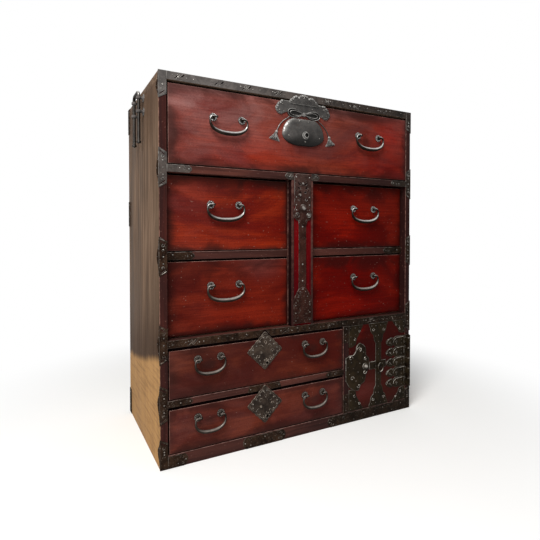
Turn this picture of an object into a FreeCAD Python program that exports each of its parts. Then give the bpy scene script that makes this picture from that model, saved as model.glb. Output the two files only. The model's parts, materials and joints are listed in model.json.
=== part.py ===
import FreeCAD, Part
import os
from math import acos, asin, atan, copysign, cos, pi, radians, sin, tan

Vec = FreeCAD.Vector

# A clothing chest of lacquered wood with iron fittings. Millimetres, +Z up, the front faces -Y.
# The origin is on the floor, in the middle of the case's width and depth.

# Case
case_width = 909.0
case_depth = 435.0
side_thickness = 21.0
top_thickness = 22.0
back_thickness = 9.0
back_board_count = 3
dust_board_thickness = 9.0
bottom_board_thickness = 12.0
rail_depth = 30.0
bearer_width = 45.0
bearer_offset = 300.0
middle_setback = 22.0

# Rails and openings, from the floor up
base_rail_height = 36.0
fifth_height = 130.0
fourth_rail_height = 18.0
fourth_height = 143.0
lower_rail_height = 21.0
third_height = 216.0
middle_rail_height = 22.0
second_height = 217.0
upper_rail_height = 20.0
first_height = 225.0

# The bar and the top lock stand a little left of the middle
middle_shift = 5.0
bar_width = 80.0
guide_thickness = 12.0
stile_thickness = 20.0
safe_width = 257.0
safe_partition_thickness = 21.0

# Drawers
front_thickness = 20.0
front_chamfer = 1.2
front_side_gap = 1.0
front_top_gap = 2.5
front_stands_proud = 0.5
seat_gap = 0.3
box_side_gap = 1.5
box_top_drop = 8.0
box_board = 9.0
box_bottom = 6.0
box_back_gap = 8.0

# Drop handles: a tapered bail on two posts, each post on a chrysanthemum rosette
rosette_radius = 12.0
rosette_thickness = 2.5
rosette_petals = 8
rosette_notch_share = 0.86
post_radius = 4.5
post_standoff = 12.0
post_head = 4.5
eye_clearance = 0.6
bail_end_radius = 2.6
bail_tip = 3.0
bail_curl_gap = 0.8
bail_curl_drop = 12.0
bail_sides = 6
curl_steps = 2
sweep_steps = 3
sweep_squareness_share = 0.86
large_post_spacing = 88.0
large_bail_half_width = 57.0
large_bail_drop = 43.5
large_bail_radius = 5.4
small_post_spacing = 68.0
small_bail_half_width = 44.5
small_bail_drop = 41.0
small_bail_radius = 4.4
handle_offset = 257.5
low_handle_offset = 176.0
first_pivot_below_top = 85.6
second_pivot_below_top = 83.7
third_pivot_below_top = 76.7
fourth_pivot_below_top = 39.5
fifth_pivot_below_top = 41.0

# Purse lock on the top drawer: body, band, cloud plate, bow, cords and tassels
band_width = 196.0
band_height = 44.0
band_below_top = 6.0
band_thickness = 2.5
cloud_width = 114.0
cloud_height = 30.5
cloud_overlap = 8.0
cloud_thickness = 3.0
purse_width = 152.0
purse_height = 83.0
purse_below_band = 7.0
purse_rise = 13.0
purse_facets = 2
purse_knob_radius = 8.0
purse_knob_height = 8.0
purse_knob_seat = 11.0
bow_width = 54.0
bow_height = 27.0
bow_above_band = 7.0
cord_width = 3.6
cord_thickness = 3.0
cord_start = 57.0
cord_below_bow = 2.0
cord_reach = 96.0
cord_drop = 44.5
cord_bulge = 0.2
knot_radius = 6.0
purse_knob_height_share = 0.38
tassel_reach = 98.0
tassel_gap = 3.0
lock_shift = 3.0
tassel_width = 38.0
tassel_height = 26.0
tassel_thickness = 6.0
tassel_lean = 12.0

# Diamond lock plates on the two lowest drawers
diamond_width = 116.0
diamond_height = 114.0
diamond_thickness = 2.5
diamond_overlap = 15.5
diamond_lobes = 4
diamond_bulge = 0.11
diamond_boss_radius = 9.0
diamond_boss_height = 7.0
diamond_boss_right = 4.0
diamond_boss_down = 35.0
diamond_stud_radius = 4.5
diamond_stud_height = 4.0
diamond_stud_left = 14.0
diamond_stud_down = 5.0

# Locking bar in front of the middle drawers
bar_clearance = 1.2
bar_back_gap = 0.4
bar_edge = 9.0
bar_panel_sink = 2.0
plate_thickness = 2.0
head_width = 61.0
head_height = 160.0
head_over_rail = 18.5
strap_width = 30.0
strap_lap_share = 0.1
foot_width = 66.0
foot_height = 118.0
foot_lift = 6.0
bar_knob_radius = 10.0
bar_knob_height = 10.0
bar_knob_drop = 105.0
bar_button_radius = 5.0
bar_button_height = 6.0
bar_button_drop = 66.0
bar_button_left = 13.0
ring_boss_radius = 8.0
ring_boss_height = 4.0
ring_boss_drop = 128.0
ring_boss_offset = 21.0

# Iron straps and corner irons on the case
iron_thickness = 1.5
iron_floor_gap = 1.0
strap_half_height = 54.0
strap_end_slope = 12.0
strap_side_reach = 33.0
leaf_shoulder_share = 0.2
leaf_neck_share = 0.5
iron_end_bulge = 0.15
corner_iron_height = 62.0
base_corner_height = 84.0
rear_iron_width = 28.0
rear_iron_height = 86.0
rear_iron_centre = 704.0
upper_end_iron = 70.0
upper_bar_iron = 30.0
middle_end_iron = 84.0
fourth_end_iron = 70.0
fourth_notch_iron = 38.0
notch_gap = 3.0
partition_iron_gap = 6.0
base_end_iron = 76.0
base_middle_iron = 143.0
base_middle_iron_from_left = 244.0
base_right_iron = 361.0
base_iron_height = 34.0

# Carrying bails on the two sides
carry_rod_radius = 5.0
carry_leg_spacing = 70.0
carry_standoff = 15.0
carry_length = 161.0
carry_bend = 14.0
carry_top_below = 2.0
carry_bend_steps = 3
carry_knob_shares = ((0.0, 0.75), (0.3, 1.0), (0.7, 1.0))
carry_knob_radius = 7.5
carry_knob_height = 9.0
collar_radius = 9.0
collar_height = 9.0
collar_clearance = 0.4
collar_spacing = 41.0
collar_shank = 8.0
washer_radius = 11.0
washer_thickness = 2.0
facet_count = 8

# Safe door and its hinge
door_thickness = 20.0
door_free_gap = 2.0
door_end_gap = 1.5
hinge_pin_radius = 2.2
hinge_bore_radius = 2.8
hinge_pin_end = 3.0
knuckle_radius = 6.5
knuckle_standoff = 8.5
knuckle_gap = 0.4
hinge_pitch = 36.6
hinge_count = 5
hinge_centre_height = 177.5
hinge_from_side = 12.0
door_knuckle_height = 20.0
hinge_leaf = 1.5
hinge_strap_leaf = 2.0
hinge_strap_reach = 91.0
hinge_strap_gap = 0.6
hinge_arm_reach = 17.0
hinge_arm_thickness = 2.5
hinge_neck_width = 6.5
case_leaf_inset = 1.5
door_lock_width = 103.0
door_lock_height = 161.0
door_lock_over = 15.0
door_lock_bottom = 104.0
door_lock_thickness = 3.0
door_knob_radius = 10.0
door_knob_height = 9.0
door_knob_from_left = 85.0
door_knob_lift = 79.0
cross_strap_width = 26.0
cross_strap_height = 180.0
centre_strap_width = 25.0
centre_strap_flare = 86.0
centre_strap_from_left = 131.0
centre_flare_height = 70.0
corner_plate_width = 60.0
corner_plate_height = 72.0
hinge_corner_height = 47.0
ring_half_width = 11.0
ring_half_height = 15.5
ring_steps = 12
ring_rod_radius = 2.2
ring_height = 186.0
ring_right_of_strap = 5.0
ring_standoff = 6.0
staple_width = 4.0
staple_thickness = 2.2
ring_clearance = 0.6

# How far a cut runs past what it cuts, and how much a boss narrows to its top
overrun = 4.0
boss_top_share = 0.7

# Levels of the rails, worked out from the heights above
base_top = base_rail_height
fifth_top = base_top + fifth_height
fourth_bottom = fifth_top + fourth_rail_height
fourth_top = fourth_bottom + fourth_height
third_bottom = fourth_top + lower_rail_height
third_top = third_bottom + third_height
second_bottom = third_top + middle_rail_height
second_top = second_bottom + second_height
first_bottom = second_top + upper_rail_height
first_top = first_bottom + first_height
case_height = first_top + top_thickness

# Planes and edges of the case
side_x = case_width / 2
inner_x = side_x - side_thickness
front_y = -case_depth / 2
back_y = case_depth / 2
back_inner_y = back_y - back_thickness
middle_y = front_y + middle_setback
bar_left = -middle_shift - bar_width / 2
bar_right = bar_left + bar_width
safe_left = inner_x - safe_width
partition_left = safe_left - safe_partition_thickness
face_y = front_y - front_stands_proud

parts = {}


# Shapes that several pieces share

def block(x, y, z):
    return Part.makeBox(x[1] - x[0], y[1] - y[0], z[1] - z[0], Vec(x[0], y[0], z[0]))


def edge(start, end, bulge, y):
    """A straight edge, or an arc whose bulge is the tangent of a quarter of its turn."""
    p = Vec(start[0], y, start[1])
    q = Vec(end[0], y, end[1])
    if bulge == 0:
        return Part.LineSegment(p, q).toShape()
    across = Vec(q.z - p.z, 0, p.x - q.x)
    return Part.Arc(p, (p + q) / 2 + across * (bulge / 2), q).toShape()


def outline(vertices, y):
    """A closed wire in the plane at y, through vertices of (x, z, bulge of the edge after it)."""
    edges = []
    for i in range(len(vertices)):
        following = vertices[(i + 1) % len(vertices)]
        edges.append(edge(vertices[i], following, vertices[i][2], y))
    return Part.Wire(edges)


def plate(vertices, y_back, thickness, opening=None):
    """A flat plate over an outline, with an opening cut through it where one is given."""
    face = Part.Face(outline(vertices, y_back))
    if opening:
        face = face.cut(Part.Face(outline(opening, y_back)))
    return face.extrude(Vec(0, -thickness, 0))


def placed(shares, x, z, width, height):
    """Vertices from shares of a width and a height. A negative width mirrors the arcs as well."""
    turn = copysign(1, width)
    return [(x + share[0] * width, z + share[1] * height, turn * share[2]) for share in shares]


def turned(vertices, x, z, angle):
    """Vertices turned about a point, by an angle in degrees that runs from +X to +Z."""
    along = cos(radians(angle))
    across = sin(radians(angle))
    return [(x + (v[0] - x) * along - (v[1] - z) * across,
             z + (v[0] - x) * across + (v[1] - z) * along, v[2]) for v in vertices]


def both_halves(right_shares):
    """A whole outline from its right half, which runs from the bottom to the top."""
    left = []
    for i in range(len(right_shares) - 1, -1, -1):
        bulge = right_shares[i - 1][2] if i > 0 else 0
        left.append((-right_shares[i][0], right_shares[i][1], bulge))
    return list(right_shares) + left


def flipped(vertices, x_about, z_about):
    """An outline turned over left to right or top to bottom about a line, where one is given."""
    turned = []
    for i in range(len(vertices) - 1, -1, -1):
        x, z = vertices[i][0], vertices[i][1]
        if x_about is not None:
            x = 2 * x_about - x
        if z_about is not None:
            z = 2 * z_about - z
        turned.append((x, z, vertices[i - 1][2]))
    return turned


def shrunk(vertices, factor):
    """The same outline drawn in towards the middle of its extent."""
    x = (min(v[0] for v in vertices) + max(v[0] for v in vertices)) / 2
    z = (min(v[1] for v in vertices) + max(v[1] for v in vertices)) / 2
    return [(x + (v[0] - x) * factor, z + (v[1] - z) * factor, v[2]) for v in vertices]


def faceted(vertices, steps):
    """The same outline with each of its arcs as a few straight facets."""
    points = []
    for i, (x, z, bulge) in enumerate(vertices):
        following = vertices[(i + 1) % len(vertices)]
        points.append((x, z, 0))
        if bulge == 0:
            continue
        quarter = atan(bulge)
        chord = Vec(following[0] - x, 0, following[1] - z)
        for k in range(1, steps):
            turn = 4 * quarter * k / steps
            along = sin(turn / 2) / sin(2 * quarter)
            lean = turn / 2 - 2 * quarter
            points.append((x + along * (chord.x * cos(lean) - chord.z * sin(lean)),
                           z + along * (chord.x * sin(lean) + chord.z * cos(lean)), 0))
    return points


def skinned(rings, closed=False):
    """A solid over rings of points, with two flat facets between each two neighbours in a ring."""
    count = len(rings[0])
    corners = []
    for i in range(len(rings) if closed else len(rings) - 1):
        near = rings[i]
        far = rings[(i + 1) % len(rings)]
        for k in range(count):
            following = (k + 1) % count
            corners.append([near[k], near[following], far[k]])
            corners.append([near[following], far[following], far[k]])
    if not closed:
        corners += [rings[0], rings[-1]]
    solid = Part.Solid(Part.Shell([Part.Face(Part.makePolygon(c + c[:1])) for c in corners]))
    if solid.Volume < 0:
        solid.reverse()
    return solid


def dome(vertices, y_back, rise, profile_shares):
    """A plate that swells to the front, through (share of the rise, share of the outline)."""
    sections = [(0.0, 1.0), *profile_shares]
    return skinned([[Vec(v[0], y_back - rise * height_share, v[1])
                     for v in shrunk(vertices, size_share)]
                    for height_share, size_share in sections])


def scallops(start, end, count, bulge):
    """Equal lobes along a straight side, without its last point."""
    lobes = []
    for i in range(count):
        share = i / count
        x = start[0] + (end[0] - start[0]) * share
        z = start[1] + (end[1] - start[1]) * share
        lobes.append((x, z, bulge))
    return lobes


def ring_of(radius, count, x=0.0, z=0.0, bulge=0.0):
    """Vertices on a circle, joined by straight edges or by equal lobes."""
    turn = 2 * pi / count
    return [(x + radius * cos(turn * (i + 0.5)), z + radius * sin(turn * (i + 0.5)), bulge)
            for i in range(count)]


def petals(radius, count, x, z):
    """The outline of a rosette, with a notch between each two petals."""
    turn = pi / count
    points = []
    for i in range(2 * count):
        reach = radius * (rosette_notch_share if i % 2 else 1)
        points.append((x + reach * cos(turn * i), z + reach * sin(turn * i), 0))
    return points


def boss(x, y_back, z, radius, height):
    """A round boss that narrows to the front."""
    return Part.makeCone(radius, radius * boss_top_share, height, Vec(x, y_back, z), Vec(0, -1, 0))


def stud(x, y_back, z, radius, height):
    """A small faceted stud."""
    base = ring_of(radius, facet_count, x, z)
    return dome(base, y_back, height, ((1.0, boss_top_share),))


def forged_rod(route, across, sides, closed=False):
    """A rod with flat facets along a flat route of (point, radius), square to across.

    The first and last stretches of an open rod stay square to their ends.
    """
    rings = []
    last = len(route) - 1
    for i, (point, radius) in enumerate(route):
        before = route[i - 1][0] if closed or i not in (0, last - 1) else point
        after = route[(i + 1) % len(route)][0] if closed or i not in (1, last) else point
        normal = across.cross(after - before)
        normal.normalize()
        rings.append([point + normal * v[0] + across * v[1] for v in ring_of(radius, sides)])
    return skinned(rings, closed)


# Case boards

def rail(name, x, front, z):
    """A rail across an opening, with the dust board that closes the space behind it."""
    parts[name] = block(x, (front, front + rail_depth), z)
    behind = (front + rail_depth, back_inner_y)
    dust_boards.append(block(x, behind, (z[1] - dust_board_thickness, z[1])))


parts["side_panel_left"] = block((-side_x, -inner_x), (front_y, back_y), (0, first_top))
parts["side_panel_right"] = block((inner_x, side_x), (front_y, back_y), (0, first_top))
parts["top_panel"] = block((-side_x, side_x), (front_y, back_y), (first_top, case_height))

across_case = (-inner_x, inner_x)
bearer_top = base_top - bottom_board_thickness
behind_base_rail = front_y + rail_depth
base_rails = [block(across_case, (front_y, behind_base_rail), (0, base_top)),
              block(across_case, (back_inner_y - rail_depth, back_inner_y), (0, bearer_top))]
for bearer_x in (-bearer_offset, 0, bearer_offset):
    bearer = (bearer_x - bearer_width / 2, bearer_x + bearer_width / 2)
    base_rails.append(block(bearer, (behind_base_rail, back_inner_y - rail_depth), (0, bearer_top)))
parts["base_rails"] = Part.makeCompound(base_rails)
parts["bottom_board"] = block(across_case, (behind_base_rail, back_inner_y), (bearer_top, base_top))

back_board_height = first_top / back_board_count
parts["back_boards"] = Part.makeCompound([
    block(across_case, (back_inner_y, back_y), (i * back_board_height, (i + 1) * back_board_height))
    for i in range(back_board_count)])

dust_boards = []
rail("upper_rail", across_case, front_y, (second_top, first_bottom))
rail("lower_rail", across_case, front_y, (fourth_top, third_bottom))
rail("fourth_rail", (-inner_x, partition_left), front_y, (fifth_top, fourth_bottom))

middle_rails = []
for span in ((-inner_x, bar_left), (bar_right, inner_x)):
    middle_rails.append(block(span, (middle_y, middle_y + rail_depth), (third_top, second_bottom)))
    dust_boards.append(block(span, (middle_y + rail_depth, back_inner_y),
                             (second_bottom - dust_board_thickness, second_bottom)))
parts["middle_rail"] = Part.makeCompound(middle_rails)
parts["dust_boards"] = Part.makeCompound(dust_boards)

stile_z = (third_bottom, second_top)
stile_back = middle_y + stile_thickness
parts["centre_partition"] = Part.makeCompound([
    block((bar_left, bar_right), (middle_y, stile_back), stile_z),
    block((bar_left, bar_left + guide_thickness), (stile_back, back_inner_y), stile_z),
    block((bar_right - guide_thickness, bar_right), (stile_back, back_inner_y), stile_z)])
parts["safe_partition"] = block((partition_left, safe_left), (front_y, back_inner_y),
                                (base_top, fourth_top))


# Drop handles

def bail_route(post_spacing, half_width, drop):
    """Half of a bail's middle line as (x, z, share of the full thickness), from tip to middle."""
    eye = post_spacing / 2
    tip = eye - post_radius - bail_tip
    bend = eye + post_radius + bail_curl_gap
    route = [(-tip, 0, 0)]
    for i in range(curl_steps + 1):
        turn = pi / 2 * i / curl_steps
        x = -bend - (half_width - bend) * sin(turn)
        route.append((x, -bail_curl_drop * (1 - cos(turn)), 0))
    for i in range(1, sweep_steps + 1):
        turn = pi / 2 * i / sweep_steps
        x = -half_width * cos(turn) ** sweep_squareness_share
        z = -bail_curl_drop - (drop - bail_curl_drop) * sin(turn) ** sweep_squareness_share
        route.append((x, z, sin(turn)))
    return route


def bail(x, y, z, size):
    """A bail of faceted bar, thin at its two ends and thickest in the middle."""
    post_spacing, half_width, drop, middle_radius = size
    left = bail_route(post_spacing, half_width, drop)
    route = []
    for px, pz, thickness_share in left + [(-p[0], p[1], p[2]) for p in reversed(left[:-1])]:
        radius = bail_end_radius + (middle_radius - bail_end_radius) * thickness_share
        route.append((Vec(x + px, y, z + pz), radius))
    return forged_rod(route, Vec(0, 1, 0), bail_sides)


def post(x, y_face, z):
    """A rosette on the drawer's face with an eyed post through its middle."""
    rosette = plate(petals(rosette_radius, rosette_petals, x, z), y_face, rosette_thickness)
    shaft = plate(ring_of(post_radius, facet_count, x, z), y_face, post_standoff + post_head)
    hole_radius = bail_end_radius + eye_clearance
    corners = [Vec(x - rosette_radius, y_face - post_standoff + v[0], z + v[1])
               for v in ring_of(hole_radius, bail_sides)]
    hole = Part.Face(Part.makePolygon(corners + corners[:1]))
    return rosette.fuse(shaft.cut(hole.extrude(Vec(2 * rosette_radius, 0, 0)))).removeSplitter()


large_bail = (large_post_spacing, large_bail_half_width, large_bail_drop, large_bail_radius)
small_bail = (small_post_spacing, small_bail_half_width, small_bail_drop, small_bail_radius)


# Drawers

def drawer(name, x, z, front, pivot_below_top, handles, bail_size):
    """One drawer in its opening: front, box, posts and bails. Returns its loose fittings."""
    front_x = (x[0] + front_side_gap, x[1] - front_side_gap)
    front_z = (z[0] + seat_gap, z[1] - front_top_gap)
    board = block(front_x, (front, front + front_thickness), front_z)
    rim = [e for e in board.Edges if abs(e.BoundBox.YMax - front) < front_chamfer]
    parts[name + "_front"] = board.makeChamfer(front_chamfer, rim)

    outer = (x[0] + box_side_gap, x[1] - box_side_gap)
    inner = (outer[0] + box_board, outer[1] - box_board)
    length = (front + front_thickness, back_inner_y - box_back_gap)
    inside_length = (length[0], length[1] - box_board)
    wall_z = (front_z[0], front_z[1] - box_top_drop)
    parts[name + "_box"] = Part.makeCompound([
        block((outer[0], inner[0]), length, wall_z),
        block((inner[1], outer[1]), length, wall_z),
        block(inner, (inside_length[1], length[1]), wall_z),
        block(inner, inside_length, (wall_z[0], wall_z[0] + box_bottom))])

    pivot_z = z[1] - pivot_below_top
    fittings = []
    for label, handle_x in handles:
        for side in (-1, 1):
            fittings.append(post(handle_x + side * bail_size[0] / 2, front, pivot_z))
        parts[name + "_handle" + label] = bail(handle_x, front - post_standoff, pivot_z, bail_size)
    return fittings


def pair_of(offset, centre=0.0):
    return (("_left", centre - offset), ("_right", centre + offset))


def diamond_lock(x, opening_top, y_face):
    """A diamond plate with lobed edges, a boss and a stud. Its upper tip laps the rail above."""
    z = opening_top + diamond_overlap - diamond_height / 2
    half_width = diamond_width / 2
    half_height = diamond_height / 2
    tips = ((x + half_width, z), (x, z + half_height), (x - half_width, z), (x, z - half_height))
    vertices = []
    for i in range(len(tips)):
        vertices += scallops(tips[i], tips[(i + 1) % len(tips)], diamond_lobes, diamond_bulge)
    plate_front = y_face - diamond_thickness
    raised = [boss(x + diamond_boss_right, plate_front, z - diamond_boss_down,
                   diamond_boss_radius, diamond_boss_height),
              stud(x - diamond_stud_left, plate_front, z - diamond_stud_down,
                   diamond_stud_radius, diamond_stud_height)]
    return plate(vertices, y_face, diamond_thickness).fuse(raised)


first_z = (first_bottom, first_top)
second_z = (second_bottom, second_top)
third_z = (third_bottom, third_top)
fourth_z = (fourth_bottom, fourth_top)
fifth_z = (base_top, fifth_top)
left_half = (-inner_x, bar_left)
right_half = (bar_right, inner_x)
low_x = (-inner_x, partition_left)
low_centre = (low_x[0] + low_x[1]) / 2

parts["top_drawer_fittings"] = Part.makeCompound(drawer(
    "top_drawer", across_case, first_z, face_y, first_pivot_below_top,
    pair_of(handle_offset), large_bail))

for name, x, z, pivot_drop, handle_x in (
        ("second_left_drawer", left_half, second_z, second_pivot_below_top, -handle_offset),
        ("second_right_drawer", right_half, second_z, second_pivot_below_top, handle_offset),
        ("third_left_drawer", left_half, third_z, third_pivot_below_top, -handle_offset),
        ("third_right_drawer", right_half, third_z, third_pivot_below_top, handle_offset)):
    parts[name + "_fittings"] = Part.makeCompound(
        drawer(name, x, z, middle_y, pivot_drop, (("", handle_x),), large_bail))

for name, z, pivot_drop in (("fourth_drawer", fourth_z, fourth_pivot_below_top),
                            ("fifth_drawer", fifth_z, fifth_pivot_below_top)):
    low_fittings = drawer(name, low_x, z, face_y, pivot_drop,
                          pair_of(low_handle_offset, low_centre), small_bail)
    low_fittings.append(diamond_lock(low_centre, z[1], face_y))
    parts[name + "_fittings"] = Part.makeCompound(low_fittings)


# Purse lock

band_right_shares = ((0.24, 0.30, -0.12), (0.40, 0.02, 0.35), (0.50, 0.25, 0.35),
                     (0.485, 0.60, 0.35), (0.435, 0.86, 0.35), (0.36, 1.0, 0))
cloud_right_shares = ((0.45, 0.0, 0.45), (0.37, 0.55, 0.35), (0.17, 0.80, 0.36))
purse_right_shares = ((0.12, 0.0, 0.09), (0.33, 0.07, 0.10), (0.46, 0.22, 0.23),
                      (0.50, 0.42, 0.093), (0.455, 0.70, 0.147), (0.33, 0.94, 0.064),
                      (0.25, 1.0, 0))
purse_dome_shares = ((0.5, 0.97), (0.85, 0.84), (1.0, 0.6))
bow_outer_shares = ((0.0, 0.30, 0), (0.82, 0.0, 0.5), (0.76, 1.0, 0), (0.0, 0.62, 0))
bow_inner_shares = ((0.16, 0.38, 0), (0.80, 0.18, 0.4), (0.74, 0.80, 0), (0.16, 0.54, 0))
tassel_right_shares = ((0.30, 0.0, 0), (0.50, 0.16, -0.15), (0.14, 0.82, 0), (0.12, 1.0, 0))


def strip(start, end, bulge, width, y_back, thickness):
    """A curved strip of one width, between two points in the plane of the front."""
    along = Vec(end[0] - start[0], 0, end[1] - start[1])
    along.normalize()
    side = Vec(-along.z, 0, along.x) * (width / 2)
    vertices = [(start[0] - side.x, start[1] - side.z, bulge),
                (end[0] - side.x, end[1] - side.z, 0),
                (end[0] + side.x, end[1] + side.z, -bulge),
                (start[0] + side.x, start[1] + side.z, 0)]
    return plate(vertices, y_back, thickness)


def purse_lock():
    x = -lock_shift
    band_z = first_top - band_below_top - band_height
    band = plate(placed(both_halves(band_right_shares), x, band_z, band_width, band_height),
                 face_y, band_thickness)
    cloud_z = band_z + band_height - cloud_overlap
    cloud = plate(placed(both_halves(cloud_right_shares), x, cloud_z, cloud_width, cloud_height),
                  face_y - band_thickness, cloud_thickness)
    purse_z = band_z - purse_below_band - purse_height
    body_outline = placed(both_halves(purse_right_shares), x, purse_z, purse_width, purse_height)
    body = dome(faceted(body_outline, purse_facets), face_y, purse_rise, purse_dome_shares)
    knob = boss(x, face_y - purse_knob_seat, purse_z + purse_height * purse_knob_height_share,
                purse_knob_radius, purse_knob_height)

    bow_y = face_y - band_thickness
    knot_z = band_z + bow_above_band
    bow_z = knot_z - bow_height / 2
    solids = [band, cloud, body.fuse(knob),
              plate(ring_of(knot_radius, facet_count, x, knot_z), bow_y, tassel_thickness)]
    for side in (-1, 1):
        loop_x = x + side * knot_radius
        solids.append(plate(placed(bow_outer_shares, loop_x, bow_z, side * bow_width, bow_height),
                            bow_y, cord_thickness,
                            placed(bow_inner_shares, loop_x, bow_z, side * bow_width, bow_height)))
        start = (x + side * cord_start, bow_z - cord_below_bow)
        end = (x + side * cord_reach, start[1] - cord_drop)
        solids.append(strip(start, end, side * -cord_bulge, cord_width, face_y, cord_thickness))
        tassel_x = x + side * tassel_reach
        tassel_top = end[1] - tassel_gap
        tassel = placed(both_halves(tassel_right_shares), tassel_x, tassel_top - tassel_height,
                        tassel_width, tassel_height)
        solids.append(plate(turned(tassel, tassel_x, tassel_top, side * tassel_lean),
                            face_y, tassel_thickness))
    return solids


parts["purse_lock"] = Part.makeCompound(purse_lock())


# Locking bar

head_right_shares = ((0.26, 0.0, -0.2), (0.34, 0.08, 0.25), (0.52, 0.20, 0.25), (0.50, 0.40, 0),
                     (0.50, 0.92, 0), (0.34, 1.0, 0))
foot_right_shares = ((0.50, 0.0, 0), (0.50, 0.60, 0.2), (0.38, 0.78, 0.2), (0.25, 0.92, 0.2),
                     (0.08, 1.0, 0))

bar_back = middle_y - bar_back_gap
bar_z = (third_bottom + seat_gap, second_top - bar_clearance)
bar_middle = (bar_left + bar_right) / 2


def lock_bar():
    """The bar, with a shallow sunk panel between its two raised edges."""
    body = block((bar_left + seat_gap, bar_right - seat_gap), (face_y, bar_back), bar_z)
    panel = block((bar_left + bar_edge, bar_right - bar_edge),
                  (face_y - overrun, face_y + bar_panel_sink),
                  (bar_z[0] - overrun, bar_z[1] + overrun))
    return body.cut(panel)


def lock_bar_irons():
    head_z = second_top + head_over_rail - head_height
    foot_z = third_bottom + foot_lift
    panel_y = face_y + bar_panel_sink
    strap_z = (foot_z + foot_height * strap_lap_share, head_z + head_height * strap_lap_share)
    strap = block((bar_middle - strap_width / 2, bar_middle + strap_width / 2),
                  (face_y, panel_y), strap_z)
    head = plate(placed(both_halves(head_right_shares), bar_middle, head_z, head_width, head_height),
                 face_y, plate_thickness)
    foot = plate(placed(both_halves(foot_right_shares), bar_middle, foot_z, foot_width, foot_height),
                 face_y, plate_thickness)
    head_top = head_z + head_height
    seat = face_y - plate_thickness
    bosses = [boss(bar_middle, seat, head_top - bar_knob_drop, bar_knob_radius, bar_knob_height),
              stud(bar_middle - bar_button_left, seat, head_top - bar_button_drop,
                   bar_button_radius, bar_button_height)]
    for side in (-1, 1):
        bosses.append(stud(bar_middle + side * ring_boss_offset, seat, head_top - ring_boss_drop,
                           ring_boss_radius, ring_boss_height))
    return [strap, head.fuse(bosses), foot]


parts["lock_bar"] = lock_bar()
parts["lock_bar_irons"] = Part.makeCompound(lock_bar_irons())


# Corner irons, straps and rail irons

def side_leaf(side, low, high, reach):
    """A leaf of iron on the case's side, from its front edge to a point."""
    x = side * side_x
    middle = (low + high) / 2
    shoulder = (high - low) * leaf_shoulder_share
    corners = [Vec(x, front_y, low), Vec(x, front_y + reach * leaf_neck_share, middle - shoulder),
               Vec(x, front_y + reach, middle),
               Vec(x, front_y + reach * leaf_neck_share, middle + shoulder), Vec(x, front_y, high)]
    face = Part.Face(Part.makePolygon(corners + corners[:1]))
    return face.extrude(Vec(side * iron_thickness, 0, 0))


def post_iron(side, low, high, slope_low, slope_high):
    """A strap on one post: a plate on the front with sloped ends and a leaf round the side."""
    inner = side * inner_x
    outer = side * (side_x + iron_thickness)
    vertices = [(outer, low, 0), (inner, low + slope_low, 0),
                (inner, high - slope_high, 0), (outer, high, 0)]
    front = plate(vertices, front_y, iron_thickness)
    return front.fuse(side_leaf(side, low, high, strap_side_reach))


def rear_iron(side, low, high):
    """A strap round one rear edge: a plate on the back and a plate on the side."""
    outside = sorted((side * side_x, side * (side_x + iron_thickness)))
    wrap = sorted((side * (side_x - rear_iron_width), side * (side_x + iron_thickness)))
    on_side = block(outside, (back_y - rear_iron_width, back_y), (low, high))
    on_back = block(wrap, (back_y, back_y + iron_thickness), (low, high))
    return on_side.fuse(on_back)


def case_irons():
    rail_middles = [(fourth_top + third_bottom) / 2, (third_top + second_bottom) / 2,
                    (second_top + first_bottom) / 2]
    irons = []
    for side in (-1, 1):
        levels = rail_middles + ([(fifth_top + fourth_bottom) / 2] if side < 0 else [])
        for level in levels:
            irons.append(post_iron(side, level - strap_half_height, level + strap_half_height,
                                   strap_end_slope, strap_end_slope))
        irons.append(post_iron(side, case_height - corner_iron_height, case_height,
                               strap_end_slope, 0))
        irons.append(post_iron(side, iron_floor_gap, base_corner_height, 0, strap_end_slope))
        irons.append(rear_iron(side, case_height - rear_iron_height, case_height))
        irons.append(rear_iron(side, rear_iron_centre - rear_iron_height / 2,
                               rear_iron_centre + rear_iron_height / 2))
        irons.append(rear_iron(side, iron_floor_gap, rear_iron_height))
    return irons


def rail_iron(x_low, x_high, z_low, z_high, y, ends):
    """An iron along a rail. Each end is plain, or drawn to a lobed point."""
    half = (z_high - z_low) / 2
    middle = (z_low + z_high) / 2
    vertices = [(x_low + (half if ends[0] else 0), z_low, 0)]
    vertices.append((x_high - (half if ends[1] else 0), z_low, iron_end_bulge if ends[1] else 0))
    if ends[1]:
        vertices.append((x_high, middle, iron_end_bulge))
    vertices.append((x_high - (half if ends[1] else 0), z_high, 0))
    vertices.append((x_low + (half if ends[0] else 0), z_high, iron_end_bulge if ends[0] else 0))
    if ends[0]:
        vertices.append((x_low, middle, iron_end_bulge))
    return plate(vertices, y, iron_thickness)


def notched_iron(x, z, x_centre, half_bottom, half_top):
    """Two irons along a rail that stop each side of the tip of a diamond plate."""
    left = [(x[0], z[0], 0), (x_centre - half_bottom, z[0], 0), (x_centre - half_top, z[1], 0),
            (x[0], z[1], 0)]
    right = [(x_centre + half_bottom, z[0], 0), (x[1], z[0], 0), (x[1], z[1], 0),
             (x_centre + half_top, z[1], 0)]
    return [plate(left, front_y, iron_thickness), plate(right, front_y, iron_thickness)]


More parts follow.
